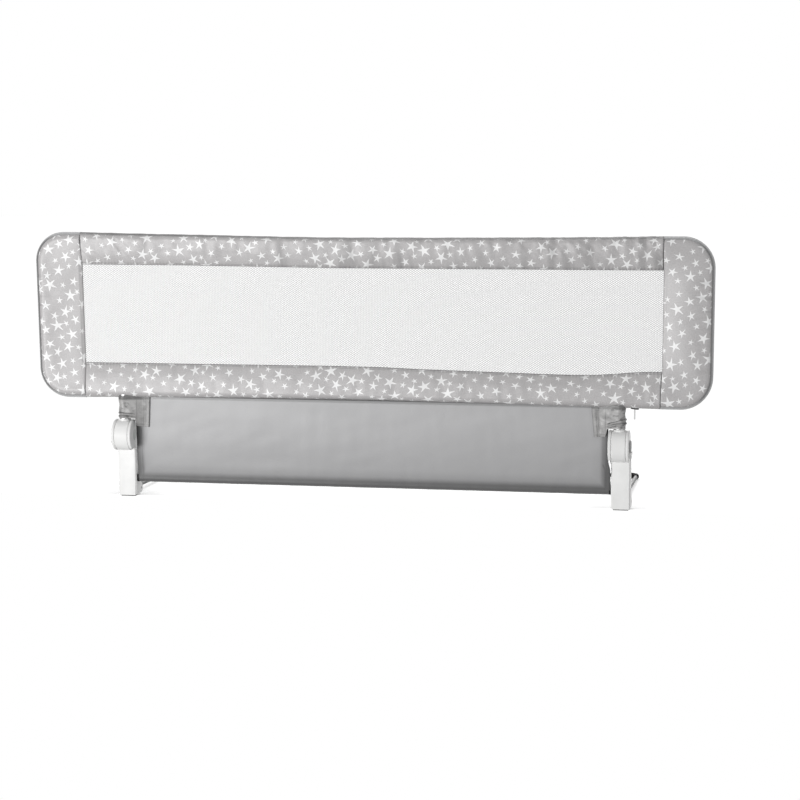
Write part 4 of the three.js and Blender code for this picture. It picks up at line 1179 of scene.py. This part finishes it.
@dataclass
class Ear:
    """A sleeve of cloth round an upright, with a flap towards the middle over the skirt's corner.

    Each fold is its height over the hem and its slope.
    """

    sizes: GuardSizes
    side: Side
    radius: float = 0.0131
    slant: float = 0.0055
    clear_x: float = 0.5268
    drop: float = 0.020
    folds: dict[Side, Rows] = field(default_factory=lambda: {
        Side.LEFT: ((0.0040, 0.05), (0.0100, 0.10)),
        Side.RIGHT: ((0.0090, 0.16), (0.0150, 0.30)),
    })
    fold_rise: float = 0.0023
    lean_back: float = 0.105
    bulge_limit: float = 0.0151
    fold_x: float = 0.548
    back_x: float = 0.5285
    flap: float = 0.045
    flap_y: float = -0.0017
    columns: int = 120
    rows: int = 90

    def __post_init__(self) -> None:
        """Finds the ear's corner, its upright and its upper edge."""
        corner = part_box("ear_right")[0]
        self.inner_x = corner.x + self.slant
        self.corner_z = corner.z
        self.bottom = self.corner_z + self.drop
        self.top = self.sizes.panel_bottom + 0.0045
        self.tube_x = middle("upright_right")[0]

    def section(self) -> Path:
        """The ear's section as (x, y).

        Returns:
            The run from the flap's edge, round the upright and back to the middle.
        """
        points = [(self.inner_x, -0.0021), (self.inner_x + 0.014, -0.0034)]
        for i in range(25):
            angle = -pi * 0.56 + pi * 1.04 * i / 24
            points.append((self.tube_x + self.radius * cos(angle), self.radius * sin(angle)))
        return Path(points + [(self.tube_x - 0.012, 0.0095), (self.back_x, 0.001)])

    def build(self, material: Material) -> Object:
        """Lays the ear.

        Args:
            material: The plain cloth.

        Returns:
            The ear.
        """
        s = self.sizes
        path = self.section()
        top = self.top

        def place(u: float, v: float) -> Vector:
            """Lays a point, with the flap slanting and leaning back over the skirt."""
            point, normal = path.at(u), path.normal(u)
            front = u * path.length
            bottom = self.hem(point.x)
            z = bottom + (top - bottom) * v
            lift = self.relief(front, point.x, z)
            inner = 1 - fade(point.x, self.inner_x, self.inner_x + 0.022)
            x = point.x - normal.x * lift
            x -= self.slant * inner * (z - self.corner_z) / (top - self.corner_z)
            y = point.y - normal.y * lift
            if front < self.flap:
                y = min(y, self.flap_y)
            on_skirt = 1 - fade(point.x, self.inner_x + 0.010, self.clear_x)
            y += on_skirt * self.lean_back * max(s.panel_bottom - 0.006 - z, 0.0)
            return Vector((self.side.value * x, s.plane + max(y, -self.bulge_limit), z))

        name = f"ear_{self.side.word}"
        bm = cloth_grid(self.columns, self.rows, place, (path.length, top - self.corner_z))
        face_outwards(bm, lambda p: Vector((self.side.value * self.tube_x, s.plane, p.z)))
        ear = sew(name, bm, material, self.depth, COVER_THICKNESS)
        declare(ear, "guard", "plain_fabric", name)
        return ear

    def hem(self, x: float) -> float:
        """The height of the lower edge at an X: it drops beside the hinge and runs on to the corner."""
        low = self.corner_z + 0.0035 * clamp((x - self.inner_x) / (self.clear_x - self.inner_x))
        return low + (self.bottom - low) * fade(x, self.clear_x - 0.0045, self.clear_x)

    def fold_heights(self, x: float) -> list[float]:
        """The height of each gathered fold, at a distance from the rail's middle."""
        return [self.bottom + height + slope * (x - self.fold_x) for height, slope in self.folds[self.side]]

    def relief(self, front: float, x: float, z: float) -> float:
        """How far the cloth stands off its straight section: two gathered folds and slanting creases.

        Args:
            front: Distance round the ear from its inner edge.
            x: Distance from the rail's middle.
            z: Height.

        Returns:
            The lift, in metres.
        """
        seed = 50 + self.side.value
        folds = sum(self.fold_rise * bell(z - centre, 0.0019) for centre in self.fold_heights(x))
        crease = 0.0029 * ripple(front * 26 + z * 55, z * 30, seed)
        drag = 0.0014 * ripple(front * 60 - z * 30, z * 46, seed + 7)
        slack = fade(z, self.top, self.top - 0.02) * fade(front, 0.002, 0.014)
        return folds * fade(front, 0.020, 0.040) + (crease + drag) * slack

    def depth(self, spot: Vector) -> float:
        """The painted shade at a point: under the band, in the folds and crumples and along the inner edge, hem
        and seam, with darker rows of stitches.

        Args:
            spot: The point.

        Returns:
            From 0 to 1.
        """
        x, z = abs(spot.x), spot.z
        edge = self.inner_x - self.slant * (z - self.corner_z) / 0.072
        rows = max(bell(x - edge - place, 0.0009) for place in (0.0075, 0.0115))
        brim = 0.8 * bell(x - edge, 0.0011)
        hem = 0.55 * bell(z - self.hem(x) - 0.0045, 0.0009)
        folds = max(bell(z - centre - 0.0026, 0.0011) for centre in self.fold_heights(x))
        on_sleeve = fade(x, self.clear_x - 0.002, self.clear_x + 0.008)
        seam = 0.5 * bell(x - self.clear_x + 0.004, 0.0011)
        # Painted shadow under the lower band.
        upper = 0.85 * bell(max(self.sizes.panel_bottom - 0.003 - z, 0.0), 0.0022)
        # Painted shade in the crumples.
        crumple = ripple(x * 60 + z * 50, z * 95, 57 + self.side.value)
        sharp = ripple(x * 130 - z * 60, z * 170, 71 + self.side.value)
        rumpled = (0.5 * fade(crumple, 0.05, 0.4) + 0.55 * fade(sharp, 0.18, 0.42)) * (0.3 + 0.7 * on_sleeve)
        return min(max(brim, 0.55 * rows, hem, seam, 0.95 * folds * on_sleeve, upper) + rumpled, 1.0)


# Rigid pieces


@dataclass
class Hardware:
    """The legs, hinges, base and zip: every rigid piece that shows, by the radius of its edges."""

    finishes: dict[str, Material]
    fine_edge: float = 0.0003
    edges: dict[str, float] = field(default_factory=lambda: {
        "leg": 0.0006, "leg_cover": 0.0004, "foot_pad": 0.0006, "release_button": 0.0008,
        "hem_collar": 0.0008, "base_barrel": 0.0005, "base_elbow": 0.0008,
    })
    fine: tuple[str, ...] = (
        "knuckle", "pin_cap", "base_arm", "base_bar", "base_sleeve", "hem_rod", "zip_slider", "zip_puller",
        "zip_tape", "leg_screw_lower", "leg_screw_upper", "upright_screw", "upright")
    corner: float = 38.0
    flat_angle: float = 1.0
    weld: float = 2e-6

    def build(self) -> None:
        """Makes every visible rigid piece fine and gives the hidden nodes their finish."""
        record = frame["record"]
        bodies = {node: body for body, nodes in record["behaviour"]["bodies"].items() for node in nodes}
        slots = {row["node"]: row["material_slot"] for row in record["subparts"]}
        edges = self.edges | dict.fromkeys(self.fine, self.fine_edge)
        for node in sorted(frame["nodes"]):
            family = node.removesuffix("_left").removesuffix("_right")
            if family in edges:
                declare(self.refined(node, slots[node], edges[family]), bodies[node], slots[node], node)
            else:
                mesh = frame["nodes"][node].data
                mesh.materials.clear()
                mesh.materials.append(self.finishes[slots[node]])

    def refined(self, node: str, slot: str, edge: float) -> Object:
        """Copies a node's mesh, merges its facets and rounds its edges.

        Args:
            node: The node.
            slot: Its material slot.
            edge: The radius of its edges.

        Returns:
            The fine piece.
        """
        bm = bmesh.new()
        bm.from_mesh(frame["nodes"][node].data)
        bmesh.ops.remove_doubles(bm, verts=bm.verts, dist=self.weld)
        bmesh.ops.dissolve_limit(bm, angle_limit=radians(self.flat_angle), verts=bm.verts, edges=bm.edges,
                                 use_dissolve_boundaries=False)
        piece = new_piece(f"{node}_fine", bm, self.finishes[slot], self.corner)
        rounding = piece.modifiers.new("edges", "BEVEL")
        rounding.width, rounding.segments = edge, 2
        rounding.limit_method, rounding.angle_limit = "ANGLE", radians(self.corner)
        rounding.harden_normals = True
        return piece


# Room


@dataclass
class Studio:
    """A pale floor, soft light and the camera at the photograph's angle.

    The floor ends behind the panel, as the edge of a bed does, so that the folded panel hangs down in front.
    Each lamp is its place, the point that it faces, the length of its side and its power in watts.
    """

    floor_edge: float
    foot_x: float
    eye: Triple = (0.9067, -4.4928, 0.7390)
    yaw: float = 11.02
    pitch: float = 6.64
    roll: float = -0.15
    lens: float = 90.56
    ambient: float = 0.34
    near_glow: float = 0.42
    painted_foot_shadow: float = 0.55
    floor_half: float = 12.0
    lamps: dict[str, tuple[Triple, Triple, float, float]] = field(default_factory=lambda: {
        "key": ((-2.6, -4.6, -0.05), (-0.1, 0.0, 0.33), 2.0, 190.0),
        "fill": ((3.6, -0.9, 0.7), (0.0, 0.0, 0.3), 1.8, 15.0),
        "top": ((0.0, 0.6, 2.5), (0.0, 0.2, 0.0), 1.8, 20.0),
        "back": ((0.4, 3.2, 1.6), (0.0, 0.0, 0.3), 2.0, 34.0),
    })

    def build(self) -> None:
        """Sets the floor, world, lamps and camera."""
        self.floor()
        self.world()
        for name, (place, aim, side, power) in self.lamps.items():
            light = bpy.data.lights.new(name, "AREA")
            light.shape, light.size, light.energy = "SQUARE", side, power
            turn = (Vector(aim) - Vector(place)).to_track_quat("-Z", "Y").to_matrix().to_4x4()
            linked(name, light).matrix_world = Matrix.Translation(place) @ turn
        self.camera()
        bpy.context.scene.view_settings.view_transform = "Standard"

    def seen(self, graph: Graph) -> Socket:
        """Finds what the camera, a reflection or a clear view sees.

        Args:
            graph: The graph to add the nodes to.

        Returns:
            1 for those rays and 0 for the light that falls on the object.
        """
        rays = graph.node("ShaderNodeLightPath").outputs
        plain = graph.math("MAXIMUM", rays["Is Camera Ray"], rays["Is Glossy Ray"])
        return graph.math("MAXIMUM", plain, rays["Is Transmission Ray"])

    def floor(self) -> None:
        """A pale floor: it keeps the shadows near the rail, has a painted shadow round the feet and is white
        further off.
        """
        bm = bmesh.new()
        bmesh.ops.create_grid(bm, x_segments=2, y_segments=2, size=self.floor_half)
        bmesh.ops.translate(bm, verts=bm.verts, vec=Vector((0.0, self.floor_half + self.floor_edge, -0.0004)))
        graph = Graph(bpy.data.materials.new("pale_floor"))
        sight = self.seen(graph)
        x, y, _ = graph.parts(graph.place())
        far = graph.step(graph.vector("LENGTH", graph.place()), 0.6, 1.7)
        beside = graph.math("SUBTRACT", graph.math("ABSOLUTE", x), self.foot_x)
        behind = graph.math("SUBTRACT", y, self.floor_edge)
        from_foot = graph.math("MULTIPLY_ADD", beside, beside, graph.math("MULTIPLY", behind, behind))
        # Painted shadow: round each foot the floor's glow is lowered.
        painted_shadow_share = graph.step(graph.math("SQRT", from_foot), 0.02, 0.12, 1.0 - self.painted_foot_shadow)
        glow = graph.math("MULTIPLY_ADD", far, 1.0 - self.near_glow, self.near_glow)
        glow = graph.math("MULTIPLY", glow, painted_shadow_share)
        # The glow rises to full white along the floor's front edge.
        rim = graph.step(behind, 0.0, 0.03)
        glow = graph.math("MULTIPLY_ADD", graph.math("SUBTRACT", glow, 1.0), rim, 1.0)
        graph.feed(graph.shader, {
            "Base Color": graph.mix(sight, shade(0.86), graph.mix(far, shade(0.97), shade(0.0))),
            "Roughness": 0.9, "Specular IOR Level": 0.1,
            "Emission Color": WHITE, "Emission Strength": graph.math("MULTIPLY", sight, glow),
        })
        new_piece("floor", bm, graph.owner)

    def world(self) -> None:
        """An even pale surround, white where the camera or a reflection sees it."""
        graph = Graph(bpy.data.worlds.new("surround"), "ShaderNodeBackground", "ShaderNodeOutputWorld")
        strength = graph.spread(self.seen(graph), self.ambient, 1.0)
        graph.feed(graph.shader, {"Color": WHITE, "Strength": strength})
        bpy.context.scene.world = graph.owner

    def camera(self) -> None:
        """The camera, from the measured place, turn and lens."""
        yaw, pitch, roll = radians(self.yaw), radians(self.pitch), radians(self.roll)
        ahead = Vector((-sin(yaw) * cos(pitch), cos(yaw) * cos(pitch), -sin(pitch)))
        right = Vector((cos(yaw), sin(yaw), 0.0))
        up = right.cross(ahead)
        right, up = right * cos(roll) + up * sin(roll), up * cos(roll) - right * sin(roll)
        data = bpy.data.cameras.new("camera")
        data.lens, data.sensor_width, data.clip_end = self.lens, 36.0, 60.0
        made = linked("camera", data)
        made.matrix_world = Matrix.Translation(self.eye) @ Matrix((right, up, -ahead)).transposed().to_4x4()
        bpy.context.scene.camera = made


def finishes(sizes: GuardSizes) -> dict[str, Material]:
    """Makes every finish once.

    Args:
        sizes: The guard's sizes, which place the rows of stitches.

    Returns:
        The materials by the record's slot.
    """
    girth = sizes.wrap(sizes.tube_top - sizes.window_top).length
    return {finish.name: finish.make() for finish in (
        Moulded("white_plastic", 0.945, (1.0, 1.0, 0.992), gloss=0.2),
        Moulded("cap_plastic", 0.86, (0.97, 1.0, 0.97), 0.45),
        Moulded("button_plastic", 0.70, roughness=0.42),
        Moulded("black_plastic", 0.07, roughness=0.55, gloss=0.2),
        Moulded("foot_rubber", 0.17, roughness=0.8, grain=700.0, relief=0.2),
        Metal("frame_steel", 0.85),
        Metal("fastener_steel", 0.80, roughness=0.28),
        Metal("base_paint", 0.20, metallic=0.0, roughness=0.4),
        Cloth("cover_fabric", 0.72, Weave.SMOOTH, (1.0, 0.974, 0.978), 0.46, 0.05, 0.8, StarPrint(), 0.92,
              rows_across=(0.0045, girth - 0.0045)),
        Cloth("plain_fabric", 0.64, Weave.SMOOTH, (1.0, 0.988, 0.98), 0.44, 0.05, rows_along=(0.008, 0.012)),
        Cloth("skirt_fabric", 0.66, Weave.COATED, (1.0, 0.997, 1.012), 0.44, 0.03,
              rows_along=(0.003, 0.0115, 1.0451, 1.0536), painted_shade_level=0.42, mottle=0.05),
        Cloth("piping_fabric", 0.81, Weave.RIBBED, painted_shade_level=0.45),
        Yarn("net_fabric", 0.86),
    )}


def main() -> None:
    """Builds every sub-assembly in order and reports each piece."""
    logging.basicConfig(level=logging.INFO, format="%(name)s: %(message)s")
    sizes = GuardSizes()
    Studio(sizes.plane + FLOOR_BEHIND, middle("leg_right")[0]).build()
    made = finishes(sizes)
    CoverBand(sizes, "cover_top", True, 3.0).build(made["cover_fabric"])
    CoverBand(sizes, "cover_bottom", False, 13.0).build(made["cover_fabric"])
    for side in Side:
        CoverEnd(sizes, side).build(made["cover_fabric"])
        Binding(sizes, side).build(made["piping_fabric"])
        Ear(sizes, side).build(made["plain_fabric"])
    WindowNet(sizes).build(made["net_fabric"])
    Skirt(sizes).build(made["skirt_fabric"])
    Hardware(made).build()


if __name__ == "__main__":
    main()
